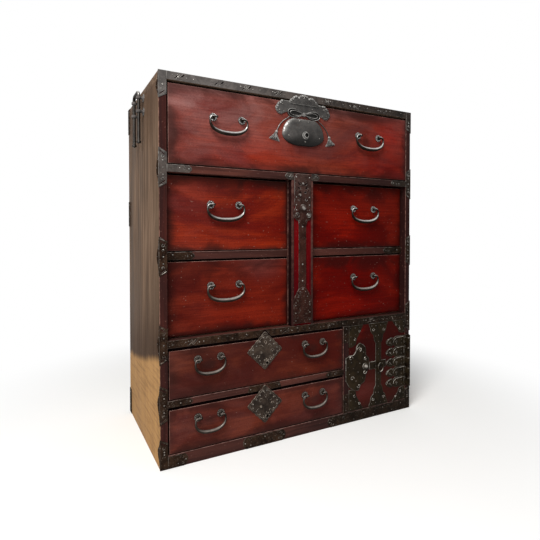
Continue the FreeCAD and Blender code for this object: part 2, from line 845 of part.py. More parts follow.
def rail_irons():
    head_half = head_width / 2 + notch_gap
    irons = [block((-inner_x, inner_x), (front_y - iron_thickness, front_y), (first_top, case_height))]
    upper = (second_top, first_bottom)
    irons.append(rail_iron(-inner_x, -inner_x + upper_end_iron, *upper, front_y, (False, True)))
    irons.append(rail_iron(inner_x - upper_end_iron, inner_x, *upper, front_y, (True, False)))
    irons.append(rail_iron(bar_middle - head_half - upper_bar_iron, bar_middle - head_half,
                           *upper, front_y, (True, False)))
    irons.append(rail_iron(bar_middle + head_half, bar_middle + head_half + upper_bar_iron,
                           *upper, front_y, (False, True)))
    middle = (third_top, second_bottom)
    irons.append(rail_iron(-inner_x, -inner_x + middle_end_iron, *middle, middle_y, (False, True)))
    irons.append(rail_iron(inner_x - middle_end_iron, inner_x, *middle, middle_y, (True, False)))
    slope = diamond_width / diamond_height
    half_at_opening = diamond_overlap * slope + notch_gap
    irons += notched_iron((-inner_x, inner_x), (fourth_top, third_bottom), low_centre,
                          half_at_opening + notch_gap, notch_gap)
    fourth = (fifth_top, fourth_bottom)
    irons.append(rail_iron(-inner_x, -inner_x + fourth_end_iron, *fourth, front_y, (False, True)))
    irons.append(rail_iron(partition_left - fourth_end_iron, partition_left, *fourth, front_y,
                           (True, False)))
    notch_span = (low_centre - half_at_opening - fourth_notch_iron,
                  low_centre + half_at_opening + fourth_notch_iron)
    irons += notched_iron(notch_span, fourth, low_centre, half_at_opening + notch_gap, notch_gap)
    partition_x = (partition_left, safe_left)
    on_front = (front_y - iron_thickness, front_y)
    lock_z = (door_lock_bottom - partition_iron_gap,
              door_lock_bottom + door_lock_height + partition_iron_gap)
    irons.append(block(partition_x, on_front, (base_top, lock_z[0])))
    irons.append(block(partition_x, on_front, (lock_z[1], fourth_top)))
    base = (iron_floor_gap, base_iron_height)
    irons.append(rail_iron(-inner_x, -side_x + base_end_iron, *base, front_y, (False, True)))
    base_middle = -side_x + base_middle_iron_from_left
    irons.append(rail_iron(base_middle, base_middle + base_middle_iron, *base, front_y,
                           (True, True)))
    irons.append(rail_iron(side_x - base_right_iron, inner_x, *base, front_y, (True, False)))
    return irons


parts["post_irons"] = Part.makeCompound(case_irons())
parts["rail_irons"] = Part.makeCompound(rail_irons())


# Carrying bails

carry_top = case_height - carry_top_below
carry_axis_x = side_x + carry_standoff
bend_start = carry_top - carry_rod_radius - carry_bend
first_collar = bend_start - seat_gap - collar_height / 2
collar_levels = (first_collar, first_collar - collar_spacing)
carry_bottom = carry_top - carry_length


def carry_bail(side):
    """A rod bent into an upside-down U, with a knob forged at the foot of each leg."""
    half = carry_leg_spacing / 2
    leg = []
    for height_share, radius_share in carry_knob_shares:
        leg.append((-half, carry_bottom + carry_knob_height * height_share,
                    carry_knob_radius * radius_share))
    leg.append((-half, carry_bottom + carry_knob_height, carry_rod_radius))
    for i in range(carry_bend_steps + 1):
        turn = pi / 2 * i / carry_bend_steps
        leg.append((-half + carry_bend * (1 - cos(turn)), bend_start + carry_bend * sin(turn),
                    carry_rod_radius))
    other_leg = [(-y, z, radius) for y, z, radius in reversed(leg)]
    route = [(Vec(side * carry_axis_x, y, z), radius) for y, z, radius in leg + other_leg]
    return forged_rod(route, Vec(1, 0, 0), facet_count)


def collar(side, y, z):
    """An eye round one leg of the bail, on a shank with a washer against the case's side."""
    x = side * carry_axis_x
    half = collar_height / 2
    corners = [Vec(x + v[0], y + v[1], z - half) for v in ring_of(collar_radius, facet_count)]
    eye = Part.Face(Part.makePolygon(corners + corners[:1])).extrude(Vec(0, 0, collar_height))
    washer = [Vec(side * side_x, y + v[0], z + v[1]) for v in ring_of(washer_radius, facet_count)]
    washer = Part.Face(Part.makePolygon(washer + washer[:1]))
    washer = washer.extrude(Vec(side * washer_thickness, 0, 0))
    shank_x = sorted((side * side_x, x))
    shank = block(shank_x, (y - collar_shank / 2, y + collar_shank / 2), (z - half, z + half))
    hole = [Vec(x + v[0], y + v[1], z - half - overrun)
            for v in ring_of(carry_rod_radius + collar_clearance, facet_count)]
    hole = Part.Face(Part.makePolygon(hole + hole[:1])).extrude(Vec(0, 0, 2 * (half + overrun)))
    return eye.fuse([shank, washer]).removeSplitter().cut(hole)


parts["carry_bail_left"] = carry_bail(-1)
parts["carry_bail_right"] = carry_bail(1)
parts["bail_collars"] = Part.makeCompound([
    collar(side, y, z)
    for side in (-1, 1)
    for y in (-carry_leg_spacing / 2, carry_leg_spacing / 2)
    for z in collar_levels])


# Safe door

door_left = safe_left + door_free_gap
door_z = (base_top + door_end_gap, fourth_top - door_end_gap)
hinge_x = side_x - hinge_from_side
hinge_y = front_y - knuckle_standoff
door_right = inner_x - front_side_gap
hinge_half = hinge_pitch * hinge_count / 2
hinge_bottom = hinge_centre_height - hinge_half
hinge_top = hinge_centre_height + hinge_half

parts["door_panel"] = block((door_left, door_right), (front_y, front_y + door_thickness), door_z)

strap_upper_shares = ((1.0, 0.5, 0), (0.55, 0.5, 0.15), (0.36, 0.30, 0), (0.33, 0.42, 0.2),
                      (0.0, 0.06, 0))


def knuckle(vertices, z_low, z_high):
    """One knuckle of the hinge, standing over an outline of (x, y) about the pin, with its bore."""
    solid = plate(vertices, 0, z_high - z_low, ring_of(hinge_bore_radius, facet_count))
    solid.rotate(Vec(0, 0, 0), Vec(1, 0, 0), -90)
    solid.translate(Vec(hinge_x, hinge_y, z_low))
    return solid


def hinge_strap(centre):
    """A strap on the door: a lobed leaf, drawn to a point, with an arm that ends in a knuckle."""
    half = hinge_pitch / 2 - hinge_strap_gap / 2
    tip = door_right - hinge_strap_reach
    upper = [(tip + share[0] * hinge_strap_reach, centre + share[1] * 2 * half, share[2])
             for share in strap_upper_shares]
    leaf = plate(upper + flipped(upper, None, centre), front_y, hinge_strap_leaf)
    arm_inner = knuckle_radius - hinge_arm_thickness
    open_turn = acos(arm_inner / knuckle_radius)
    around = [(0, knuckle_radius, 0), (-hinge_arm_reach, knuckle_radius, 0),
              (-hinge_arm_reach, arm_inner, 0),
              (-knuckle_radius * sin(open_turn), arm_inner, tan((2 * pi - open_turn) / 4))]
    knuckle_half = door_knuckle_height / 2
    return leaf.fuse(knuckle(around, centre - knuckle_half, centre + knuckle_half))


def case_hinge_leaf():
    """The leaf on the case's post, with a knuckle above, between and below the door's."""
    leaf = block((inner_x + case_leaf_inset, side_x), (front_y - hinge_leaf, front_y),
                 (hinge_bottom, hinge_top))
    neck = hinge_neck_width / 2
    half_open = asin(neck / knuckle_radius)
    seat = knuckle_standoff - hinge_leaf
    around = [(neck, seat, 0), (-neck, seat, 0),
              (-neck, knuckle_radius * cos(half_open), tan((2 * pi - 2 * half_open) / 4)),
              (neck, knuckle_radius * cos(half_open), 0)]
    free_half = door_knuckle_height / 2 + knuckle_gap
    knuckles = []
    for i in range(hinge_count + 1):
        low = hinge_bottom if i == 0 else hinge_bottom + (i - 0.5) * hinge_pitch + free_half
        high = hinge_top if i == hinge_count else hinge_bottom + (i + 0.5) * hinge_pitch - free_half
        knuckles.append(knuckle(around, low, high))
    return leaf.fuse(knuckles)


parts["door_hinge_straps"] = Part.makeCompound([
    hinge_strap(hinge_bottom + (i + 0.5) * hinge_pitch) for i in range(hinge_count)])
parts["case_hinge_leaf"] = case_hinge_leaf()
parts["hinge_pin"] = Part.makeCylinder(
    hinge_pin_radius, hinge_top - hinge_bottom + 2 * hinge_pin_end,
    Vec(hinge_x, hinge_y, hinge_bottom - hinge_pin_end))


# Plates and ring on the door

lock_shares = ((0.03, 0.24, 0), (0.17, 0.10, 0), (0.36, 0.02, 0.15), (0.56, 0.0, 0.15),
               (0.62, 0.10, 0), (0.80, 0.16, 0.15), (0.86, 0.30, 0), (1.0, 0.44, 0),
               (1.0, 0.64, 0), (0.86, 0.74, 0.15), (0.84, 0.90, 0.15), (0.60, 1.0, 0.15),
               (0.47, 0.92, -0.25), (0.34, 0.76, 0), (0.20, 0.76, 0), (0.03, 0.72, 0))
corner_shares = ((0.0, 0.0, 0), (1.0, 0.0, 0.15), (0.82, 0.30, 0), (0.62, 0.55, -0.15),
                 (0.50, 0.86, 0.15), (0.16, 1.0, 0), (0.0, 1.0, 0))
flare_bulge = 0.15
lock_left = partition_left + safe_partition_thickness - door_lock_over


def centre_strap():
    """The upright strap, flared where it meets the door's top and bottom, with its cross strap."""
    strap_x = safe_left + centre_strap_from_left
    half = centre_strap_width / 2
    flare = centre_strap_flare / 2
    waist = (door_z[0] + centre_flare_height, door_z[1] - centre_flare_height)
    vertices = [(strap_x - flare, door_z[0], 0), (strap_x + flare, door_z[0], flare_bulge),
                (strap_x + half, waist[0], 0), (strap_x + half, waist[1], flare_bulge),
                (strap_x + flare, door_z[1], 0), (strap_x - flare, door_z[1], flare_bulge),
                (strap_x - half, waist[1], 0), (strap_x - half, waist[0], flare_bulge)]
    cross_low = cross_strap_height - cross_strap_width / 2
    cross = block((lock_left + door_lock_width + notch_gap, door_right - hinge_strap_reach),
                  (front_y - iron_thickness, front_y), (cross_low, cross_low + cross_strap_width))
    return plate(vertices, front_y, iron_thickness).fuse(cross)


def door_corners():
    """The four corner irons of the door. The two beside the hinge are lower."""
    middle_x = (door_left + door_right) / 2
    middle_z = (door_z[0] + door_z[1]) / 2
    corners = []
    for height in (corner_plate_height, hinge_corner_height):
        low = [(door_left + s[0] * corner_plate_width, door_z[0] + s[1] * height, s[2])
               for s in corner_shares]
        if height == hinge_corner_height:
            low = flipped(low, middle_x, None)
        corners.append(plate(low, front_y, iron_thickness))
        corners.append(plate(flipped(low, None, middle_z), front_y, iron_thickness))
    return corners


ring_x = safe_left + centre_strap_from_left + ring_right_of_strap
ring_y = front_y - iron_thickness - ring_standoff


def ring_staple():
    """A bent staple that holds the ring: a flat bow on two legs."""
    gap = ring_rod_radius + ring_clearance
    outer = gap + staple_thickness
    x = (ring_x - staple_width / 2, ring_x + staple_width / 2)
    bow = block(x, (ring_y - outer, front_y - iron_thickness),
                (ring_height - outer, ring_height + outer))
    slot = block((x[0] - overrun, x[1] + overrun), (ring_y - gap, front_y - iron_thickness),
                 (ring_height - gap, ring_height + gap))
    return bow.cut(slot)


def door_ring():
    """An oval ring of faceted rod that hangs in the staple."""
    centre_z = ring_height - ring_half_height
    route = []
    for i in range(ring_steps):
        turn = 2 * pi * i / ring_steps
        point = Vec(ring_x + ring_half_width * sin(turn), ring_y,
                    centre_z + ring_half_height * cos(turn))
        route.append((point, ring_rod_radius))
    return forged_rod(route, Vec(0, 1, 0), bail_sides, True)


def door_lock():
    vertices = [(lock_left + s[0] * door_lock_width, door_lock_bottom + s[1] * door_lock_height, s[2])
                for s in lock_shares]
    knob = boss(lock_left + door_knob_from_left, front_y - door_lock_thickness,
                door_lock_bottom + door_knob_lift, door_knob_radius, door_knob_height)
    return plate(vertices, front_y, door_lock_thickness).fuse(knob)


parts["door_irons"] = Part.makeCompound([centre_strap(), *door_corners(), ring_staple()])
parts["door_ring"] = door_ring()
parts["door_lock_plate"] = door_lock()

os.makedirs("parts", exist_ok=True)
for name, shape in parts.items():
    shape.exportStep("parts/" + name + ".step")
print(len(parts), "sub-parts")
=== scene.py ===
import json
import math
import random
from math import cos, hypot, pi, sin

import bmesh
import bpy
from mathutils import Matrix, Vector
from mathutils.geometry import tessellate_polygon


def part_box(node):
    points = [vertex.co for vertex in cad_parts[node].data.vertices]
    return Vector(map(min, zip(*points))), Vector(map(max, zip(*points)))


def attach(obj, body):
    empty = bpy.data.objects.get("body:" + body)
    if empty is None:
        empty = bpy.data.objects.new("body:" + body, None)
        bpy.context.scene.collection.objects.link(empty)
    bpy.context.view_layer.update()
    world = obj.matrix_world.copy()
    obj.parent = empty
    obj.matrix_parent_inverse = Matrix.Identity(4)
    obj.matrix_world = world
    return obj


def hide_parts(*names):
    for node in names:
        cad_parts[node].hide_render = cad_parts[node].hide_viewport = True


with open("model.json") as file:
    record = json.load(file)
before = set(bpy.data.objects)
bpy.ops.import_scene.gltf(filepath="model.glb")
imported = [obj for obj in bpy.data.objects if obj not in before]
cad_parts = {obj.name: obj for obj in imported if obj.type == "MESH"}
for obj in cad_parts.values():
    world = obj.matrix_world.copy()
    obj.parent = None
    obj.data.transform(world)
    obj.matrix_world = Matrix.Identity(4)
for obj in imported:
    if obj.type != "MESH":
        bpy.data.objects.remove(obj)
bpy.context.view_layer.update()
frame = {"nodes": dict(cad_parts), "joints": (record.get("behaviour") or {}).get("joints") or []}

# Lengths are in millimetres up to the moment a mesh is made, and the chest's front faces -Y.
MM = 0.001
CHANCE = random.Random(7)

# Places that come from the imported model


def low(node):
    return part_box(node)[0] / MM


def high(node):
    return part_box(node)[1] / MM


def levels(node):
    return low(node).z, high(node).z


side_x = high("top_panel").x
front_y = low("top_panel").y
back_y = high("top_panel").y
case_top = high("top_panel").z
inner_x = low("side_panel_right").x
face_y = low("top_drawer_front").y
middle_y = low("second_left_drawer_front").y
pivot = {j["child"]: Vector(j["pos_m"]) / MM for j in frame["joints"] if j.get("pos_m")}


# Local planes: a point is (along, up, out of the surface)

def front_at(y):
    return lambda u, v, w: Vector((u, y - w, v)) * MM


def back_at(y):
    return lambda u, v, w: Vector((u, y + w, v)) * MM


def side_at(side, x):
    return lambda u, v, w: Vector((side * (x + w), u, v)) * MM


def upright_at(x=0.0, y=0.0):
    return lambda u, v, w: Vector((x + u, y + v, w)) * MM


# Outlines: a vertex is (x, z) or (x, z, bulge of the edge after it)

def arcs(vertices, step=0.16):
    """The points round an outline, with its bulged edges cut into steps of a turn."""
    points = []
    for i, (x, z, *bulge) in enumerate(vertices):
        nx, nz = vertices[(i + 1) % len(vertices)][:2]
        points.append((x, z))
        if not any(bulge):
            continue
        quarter = math.atan(bulge[0])
        count = max(2, math.ceil(abs(4 * quarter) / step))
        cx, cz = nx - x, nz - z
        for k in range(1, count):
            turn = 4 * quarter * k / count
            along = sin(turn / 2) / sin(2 * quarter)
            lean = turn / 2 - 2 * quarter
            points.append((x + along * (cx * cos(lean) - cz * sin(lean)),
                           z + along * (cx * sin(lean) + cz * cos(lean))))
    return points


def inset(points, distance):
    """A closed outline drawn inwards by a distance, with its corners kept sharp."""
    pairs = list(zip(points, points[1:] + points[:1]))
    sign = 1 if sum(a[0] * b[1] - b[0] * a[1] for a, b in pairs) > 0 else -1
    moved = []
    for (a, b), (_, c) in zip(pairs[-1:] + pairs[:-1], pairs):
        first, second = Vector(b) - Vector(a), Vector(c) - Vector(b)
        if min(first.length, second.length) < 1e-6:
            moved.append(b)
            continue
        first.normalize()
        second.normalize()
        normal = Vector((-first.y - second.y, first.x + second.x)) * sign
        if normal.length < 0.2:
            moved.append(b)
            continue
        normal.normalize()
        reach = distance / max(0.5, normal.dot(Vector((-first.y, first.x)) * sign))
        moved.append((b[0] + normal.x * reach, b[1] + normal.y * reach))
    return moved


def circle(u, v, radius, count=20):
    return [(u + radius * cos(2 * pi * i / count), v + radius * sin(2 * pi * i / count))
            for i in range(count)]


def spiral(u, v, radius, start, turns, inner=0.25, count=16):
    """A curl that starts on a circle and winds in."""
    points = []
    for i in range(count + 1):
        share = i / count
        reach = radius * (1 - (1 - inner) * share)
        angle = start + turns * 2 * pi * share
        points.append((u + reach * cos(angle), v + reach * sin(angle)))
    return points


def oblong(x0, x1, z0, z1):
    return [(x0, z0), (x1, z0), (x1, z1), (x0, z1)]


def both_halves(right):
    left = [(-x, z, right[i - 1][2] if i else 0) for i, (x, z, _) in enumerate(right)]
    return list(right) + left[::-1]


def placed(shares, x, z, width, height):
    return [(x + s[0] * width, z + s[1] * height, s[2]) for s in shares]


def flipped(vertices, x_about=None, z_about=None):
    turned = [(x if x_about is None else 2 * x_about - x,
               z if z_about is None else 2 * z_about - z, vertices[i - 1][2])
              for i, (x, z, _) in enumerate(vertices)]
    return turned[::-1]


def scaled(points, factor):
    x, z = ((min(part) + max(part)) / 2 for part in zip(*points))
    return [(x + (p[0] - x) * factor, z + (p[1] - z) * factor) for p in points]


# Mesh code

def bridge(bm, rings, closed=True):
    for near, far in zip(rings, rings[1:]):
        count = len(near)
        for k in range(count if closed else count - 1):
            following = (k + 1) % count
            bm.faces.new((near[k], near[following], far[following], far[k]))


def cap(bm, loops):
    """Fills the area between an outer loop of points and its holes."""
    flat = [[Vector((x, z, 0)) for x, z in points] for points, _ in loops]
    verts = [v for _, ring in loops for v in ring]
    for triangle in tessellate_polygon(flat):
        corners = [verts[i] for i in triangle]
        if len(set(corners)) == 3 and not bm.faces.get(corners):
            bm.faces.new(corners)


def blank():
    """An empty mesh whose points say how bright the metal there is: wear with a painted highlight
    above zero, painted shade below zero.
    """
    bm = bmesh.new()
    bm.verts.layers.float.new("wear_and_light")
    return bm


def add_points(bm, places, wear_and_light):
    layer = bm.verts.layers.float["wear_and_light"]
    made = [bm.verts.new(place) for place in places]
    for i, v in enumerate(made):
        v[layer] = wear_and_light[i] if isinstance(wear_and_light, list) else wear_and_light
    return made


def lit(along, up):
    """How far a flank that faces along and up looks up and to the left, towards the light: there a
    painted highlight is added to its rubbing.
    """
    return max(0.0, 0.83 * up - 0.55 * along)


def add_plate(bm, at, loops, low_w, high_w, soft=0.6, wear_and_light=1.0, band=1.1):
    """A plate over outlines of points, the first one outer, with a rounded edge.

    The edge is rubbed bright, most where it faces the upper left, where a painted highlight is
    added to the wear, and the rubbing ends over a band inside it."""
    rise = [(low_w, 0, 0)] + [(high_w - soft * (1 - sin(t)), soft * (1 - cos(t)), 1)
                              for t in (0, pi / 4, pi / 2)] + [(high_w, soft + band, 0)]
    tops, bottoms = [], []
    for i, points in enumerate(loops):
        inward = -1 if i else 1
        lit_rubs = [wear_and_light * (0.22 + 0.78 * lit(u - near_u, v - near_v)
                        / max(0.1, hypot(u - near_u, v - near_v)))
                for (u, v), (near_u, near_v) in zip(points, inset(points, inward))]
        rings = []
        for w, shift, rubbed in rise:
            ring = inset(points, inward * shift) if shift else points
            rings.append((ring, add_points(bm, [at(u, v, w) for u, v in ring],
                                           [rub * rubbed for rub in lit_rubs])))
        bridge(bm, [verts for _, verts in rings])
        tops.append(rings[-1])
        bottoms.append(rings[0])
    cap(bm, tops)
    cap(bm, bottoms)


def add_rings(bm, at, outlines, wear_and_light=()):
    """A solid through outlines of the same number of points, each at its own height."""
    rings = [add_points(bm, [at(u, v, w) for u, v in points], wear_and_light[i] if i < len(wear_and_light) else 0)
             for i, (points, w) in enumerate(outlines)]
    bridge(bm, rings)
    bm.faces.new(rings[0])
    bm.faces.new(rings[-1])


def add_turned(bm, at, u, v, profile, count=20, wear_and_light=()):
    """A turned form through (radius, height), standing on a surface."""
    add_rings(bm, at, [(circle(u, v, radius, count), w) for radius, w in profile], wear_and_light)


def add_lathe(bm, at, u, v, profile, count=20, wear_and_light=()):
    """A turned form whose flanks are rubbed bright, most where they look up and to the left, where
    a painted highlight is added to the wear.
    """
    turns = [2 * pi * i / count for i in range(count)]
    lit_rubs = [[rub * (0.3 + 0.7 * lit(cos(t), sin(t))) for t in turns]
            if radius > 0.5 * profile[0][0] else rub for rub, (radius, _) in zip(wear_and_light, profile)]
    add_turned(bm, at, u, v, profile, count, lit_rubs)


def add_nail(bm, at, u, v, seat=0.0, shank=1.9):
    radius = 1.2 * shank
    height = radius * CHANCE.uniform(0.6, 0.85)
    profile = [(radius, seat - 0.2)] + [(radius * cos(t), seat + height * sin(t))
                                        for t in (0.15, 0.6, 1.05, 1.4)]
    add_lathe(bm, at, u, v, profile, 10, (0, 0, 0.4, 1, 1))


def add_tube(bm, points, radii, sides=10, closed=False, flat=1.0, up=None, wear_and_light=0.0):
    """A round rod along points, with its radius at each one and rounded ends."""
    if not isinstance(radii, list):
        radii = [radii] * len(points)
    last = len(points) - 1
    rings = []
    normal = None
    for i, point in enumerate(points):
        before = points[i - 1] if closed or i else point
        after = points[(i + 1) % len(points)] if closed or i < last else point
        along = (after - before).normalized()
        if up is not None:
            normal = up
        elif normal is None:
            normal = along.orthogonal().normalized()
        normal = (normal - along * normal.dot(along)).normalized()
        side = along.cross(normal)
        spokes = [normal * cos(2 * pi * k / sides) * flat + side * sin(2 * pi * k / sides)
                  for k in range(sides)]
        rings.append(add_points(bm, [(point + spoke * radii[i]) * MM for spoke in spokes],
                                [wear_and_light(spoke) for spoke in spokes] if callable(wear_and_light) else wear_and_light))
    if closed:
        bridge(bm, rings + rings[:1])
        return
    bridge(bm, rings)
    for end, inward in ((0, 1), (-1, -2)):
        away = (points[end] - points[inward]).normalized() * radii[end] * 0.6
        tip = add_points(bm, [(points[end] + away) * MM], 0.0 if callable(wear_and_light) else wear_and_light)[0]
        for k in range(sides):
            bm.faces.new((rings[end][k], rings[end][(k + 1) % sides], tip))


def front_highlight_and_wear(spoke):
    """A painted highlight over wear: a bail is bright along its front and upper side, which face
    the light and which hands rub.
    """
    return max(0.0, min(1.0, (spoke.dot(Vector((-0.30, -0.66, 0.69))) - 0.66) / 0.32))


def add_block(bm, lo, hi, soft=0.8):
    """A board with rounded edges, which are rubbed bright, most at the top and the left, where a
    painted highlight is added to the wear.
    """
    made = bmesh.ops.create_cube(bm, size=1)["verts"]
    size = Vector(hi) - Vector(lo)
    middle = (Vector(hi) + Vector(lo)) / 2
    for v in made:
        v.co = (v.co * size + middle) * MM
    edges = list({e for v in made for e in v.link_edges})
    rounded = bmesh.ops.bevel(bm, geom=edges, offset=soft * MM, segments=3, profile=0.5,
                              affect="EDGES")["verts"]
    bm.normal_update()
    layer = bm.verts.layers.float["wear_and_light"]
    for v in rounded:
        if all(max(abs(part) for part in f.normal) < 0.999 for f in v.link_faces):
            v[layer] = 1.0 if v.normal.z > 0.2 or v.normal.x < -0.2 else 0.25


def piece(name, bm, body, material, replaces=(), angle=0.7):
    """Makes an object of a mesh, and gives it its body and its material."""
    bmesh.ops.recalc_face_normals(bm, faces=bm.faces)
    mesh = bpy.data.meshes.new(name)
    bm.to_mesh(mesh)
    bm.free()
    for polygon in mesh.polygons:
        polygon.use_smooth = True
    mesh.set_sharp_from_angle(angle=angle)
    thing = bpy.data.objects.new(name, mesh)
    bpy.context.scene.collection.objects.link(thing)
    mesh.materials.append(material)
    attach(thing, body)
    if replaces:
        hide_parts(*replaces)
    return thing


class Iron:
    """Plates, raised lines, turned bosses and nails on one face, most of them at one level."""

    def __init__(self, at, seat, bm=None, nails=None):
        self.at, self.seat = at, seat
        self.bm = bm or blank()
        self.nails = nails or blank()

    def plate(self, vertices, soft=0.5, wear_and_light=1.0, band=1.1, holes=(), base=0, rise=None):
        add_plate(self.bm, self.at, [arcs(vertices), *holes], base, base + (rise or self.seat),
                  soft, wear_and_light, band)

    def ridge(self, points, radius, wear_and_light=0.8, closed=False, level=None):
        route = [self.at(u, v, level or self.seat) / MM for u, v in points]
        add_tube(self.bm, route, radius, 6, closed, wear_and_light=wear_and_light)

    def curl(self, u, v, radius, start, turns, thick=0.7, wear_and_light=0.8):
        self.ridge(spiral(u, v, radius, start, turns), thick, wear_and_light)

    def nail(self, u, v, shank=1.9, level=None):
        add_nail(self.nails, self.at, u, v, self.seat if level is None else level, shank)

    def lathe(self, u, v, profile, count=20, wear_and_light=()):
        add_lathe(self.bm, self.at, u, v, profile, count, wear_and_light)

    def finish(self, name, body, material, replaces, angle=0.6, nails=None):
        piece(name, self.bm, body, material, replaces, angle)
        if nails:
            piece(nails, self.nails, body, NAIL, (), 1.2)


# Materials

class Nodes:
    """A node tree, with short names for the nodes it uses most."""

    def __init__(self, tree):
        self.tree = tree

    def put(self, value, socket):
        if hasattr(value, "is_linked"):
            self.tree.links.new(value, socket)
        else:
            socket.default_value = value

    def new(self, kind, *values, **settings):
        """A node with its first sockets filled in order."""
        node = self.tree.nodes.new("ShaderNode" + kind)
        for key, value in settings.items():
            setattr(node, key, value)
        for value, socket in zip(values, node.inputs):
            self.put(value, socket)
        return node

    def math(self, operation, a, b=0.0, clamp=False):
        return self.new("Math", a, b, operation=operation, use_clamp=clamp).outputs[0]

    def add(self, a, b):
        return self.math("ADD", a, b)

    def times(self, first, *others):
        for other in others:
            first = self.math("MULTIPLY", first, other)
        return first

    def span(self, value, low_value, high_value, low_out=0.0, high_out=1.0):
        return self.new("MapRange", value, low_value, high_value, low_out, high_out,
                        interpolation_type="SMOOTHSTEP").outputs[0]

    def mix(self, factor, a, b, blend="MIX"):
        node = self.new("Mix", factor, data_type="RGBA", blend_type=blend)
        for value, socket in ((a, node.inputs[6]), (b, node.inputs[7])):
            self.put((*value, 1.0) if isinstance(value, tuple) else value, socket)
        return node.outputs[2]

    def layers(self, colour, *layers):
        """Lays (share, colour) one after another over a colour."""
        for layer in layers:
            colour = self.mix(layer[0], colour, *layer[1:])
        return colour


class Finish(Nodes):
    """A material under construction."""

    def __init__(self, name, specular):
        self.material = bpy.data.materials.new(name)
        self.material.use_nodes = True
        super().__init__(self.material.node_tree)
        self.shader = self.tree.nodes["Principled BSDF"]
        self.set("Specular IOR Level", specular)
        self.place = self.new("TexCoord").outputs["Object"]

    def set(self, name, value):
        self.put(value, self.shader.inputs[name])

    def noise(self, stretch, scale=1.0, detail=4.0, rough=0.55, distortion=0.0, shift=0.0):
        moved = self.new("Mapping", self.place, (shift, shift * 1.7, shift * 0.6))
        moved.inputs["Scale"].default_value = stretch
        texture = self.new("TexNoise", moved.outputs[0])
        for key, value in (("Scale", scale), ("Detail", detail), ("Roughness", rough),
                           ("Distortion", distortion)):
            texture.inputs[key].default_value = value
        return texture.outputs["Fac"]

    def attribute(self, name):
        return self.new("Attribute", attribute_name=name).outputs["Fac"]

    def xyz(self):
        return self.new("SeparateXYZ", self.place).outputs

    def bump(self, height, distance, strength=1.0):
        node = self.new("Bump")
        for name, value in (("Strength", strength), ("Distance", distance), ("Height", height)):
            self.put(value, node.inputs[name])
        if self.shader.inputs["Normal"].is_linked:
            self.put(self.shader.inputs["Normal"].links[0].from_socket, node.inputs["Normal"])
        self.set("Normal", node.outputs[0])


EVEN = (1, 1, 1)
# A front's looks: tone, edge (painted shade near its edges, and dark spots), haze (a painted
# reflection, and pale spots) and how rich its red is
LOOKS = ("tone", "edge", "haze", "rich")


def red_lacquer():
    """The drawer fronts: crimson to orange over a horizontal grain, with painted shade towards the
    edges and a painted reflection as haze.
    """
    f = Finish("red_lacquer", 0.018)
    tone, edge, haze, rich = (f.attribute(look) for look in LOOKS)
    grain = f.noise((2.6, 20, 210), 1.0, 6, 0.62, 0.5)
    fine = f.noise((14, 60, 800), 1.0, 5, 0.7, 0.2, 3.0)
    cloud = f.noise((3.0, 3, 7.5), 1.0, 5, 0.6, 0.8, 1.3)
    patch = f.noise((7, 5, 13), 1.0, 4, 0.55, 1.2, 5.0)
    grit = f.noise((1, 1, 1.6), 230.0, 4, 0.6, 0.4, 7.0)
    speck = f.noise(EVEN, 170.0, 2, 0.5, 0.0, 2.0)
    scratch = f.noise((5, 5, 260), 1.0, 3, 0.6, 0.6, 8.0)
    chips = f.span(f.noise(EVEN, 45.0, 4, 0.6, 0.0, 4.0), 0.36, 0.62, 0.3, 1.0)
    shade_and_dark_spots = f.add(edge, f.span(patch, 0.3, 0.7, -0.3, 0.3))
    haze = f.times(haze, f.span(patch, 0.3, 0.72, 0.40, 1.25),
                   f.span(f.add(grain, grit), 0.8, 1.25, 1.15, 0.78),
                   f.span(shade_and_dark_spots, -0.1, 0.8, 0.50, 1.0))
    f.set("Base Color", f.layers(
        f.mix(tone, (0.030, 0.0065, 0.0045), (0.125, 0.004, 0.0015)),
        (f.span(cloud, 0.40, 0.62), f.mix(tone, (0.076, 0.019, 0.009), (0.245, 0.014, 0.002))),
        (f.span(grain, 0.42, 0.66, 0.0, 0.34), (0.040, 0.004, 0.003)),
        (f.span(fine, 0.5, 0.72, 0.0, 0.45), (0.022, 0.003, 0.003)),
        (f.times(f.span(grain, 0.46, 0.32), f.span(cloud, 0.46, 0.62, 0.0, 0.24), tone),
         (0.36, 0.045, 0.005)),
        (f.span(grit, 0.50, 0.70, 0.0, 0.40), (0.026, 0.004, 0.003)),
        (f.times(f.span(grit, 0.44, 0.30, 0.0, 0.18), tone), (0.40, 0.060, 0.018)),
        # painted shade towards the edges and under the rails, and the board's dark spots
        (f.span(shade_and_dark_spots, -0.1, 0.75, 0.88, 0.0), (0.024, 0.0070, 0.0055)),
        (rich, (1.0, 0.34, 0.34), "MULTIPLY"),
        # the haze: a painted reflection, and the board's pale spots
        (haze, (0.28, 0.150, 0.138)),
        (f.span(speck, 0.69, 0.76, 0.0, 0.34), (0.34, 0.20, 0.16)),
        (f.times(f.attribute("wear_and_light"), chips), (0.33, 0.19, 0.155))))
    f.set("Roughness", f.add(f.add(f.span(patch, 0.3, 0.7, 0.26, 0.42),
                                   f.span(scratch, 0.6, 0.7, 0.0, 0.12)), f.times(haze, 0.2)))
    f.bump(cloud, 0.0012, 0.35)
    f.bump(f.add(grain, grit), 0.0003, 0.4)
    f.bump(f.span(speck, 0.68, 0.76), 0.0006, 0.5)
    return f.material


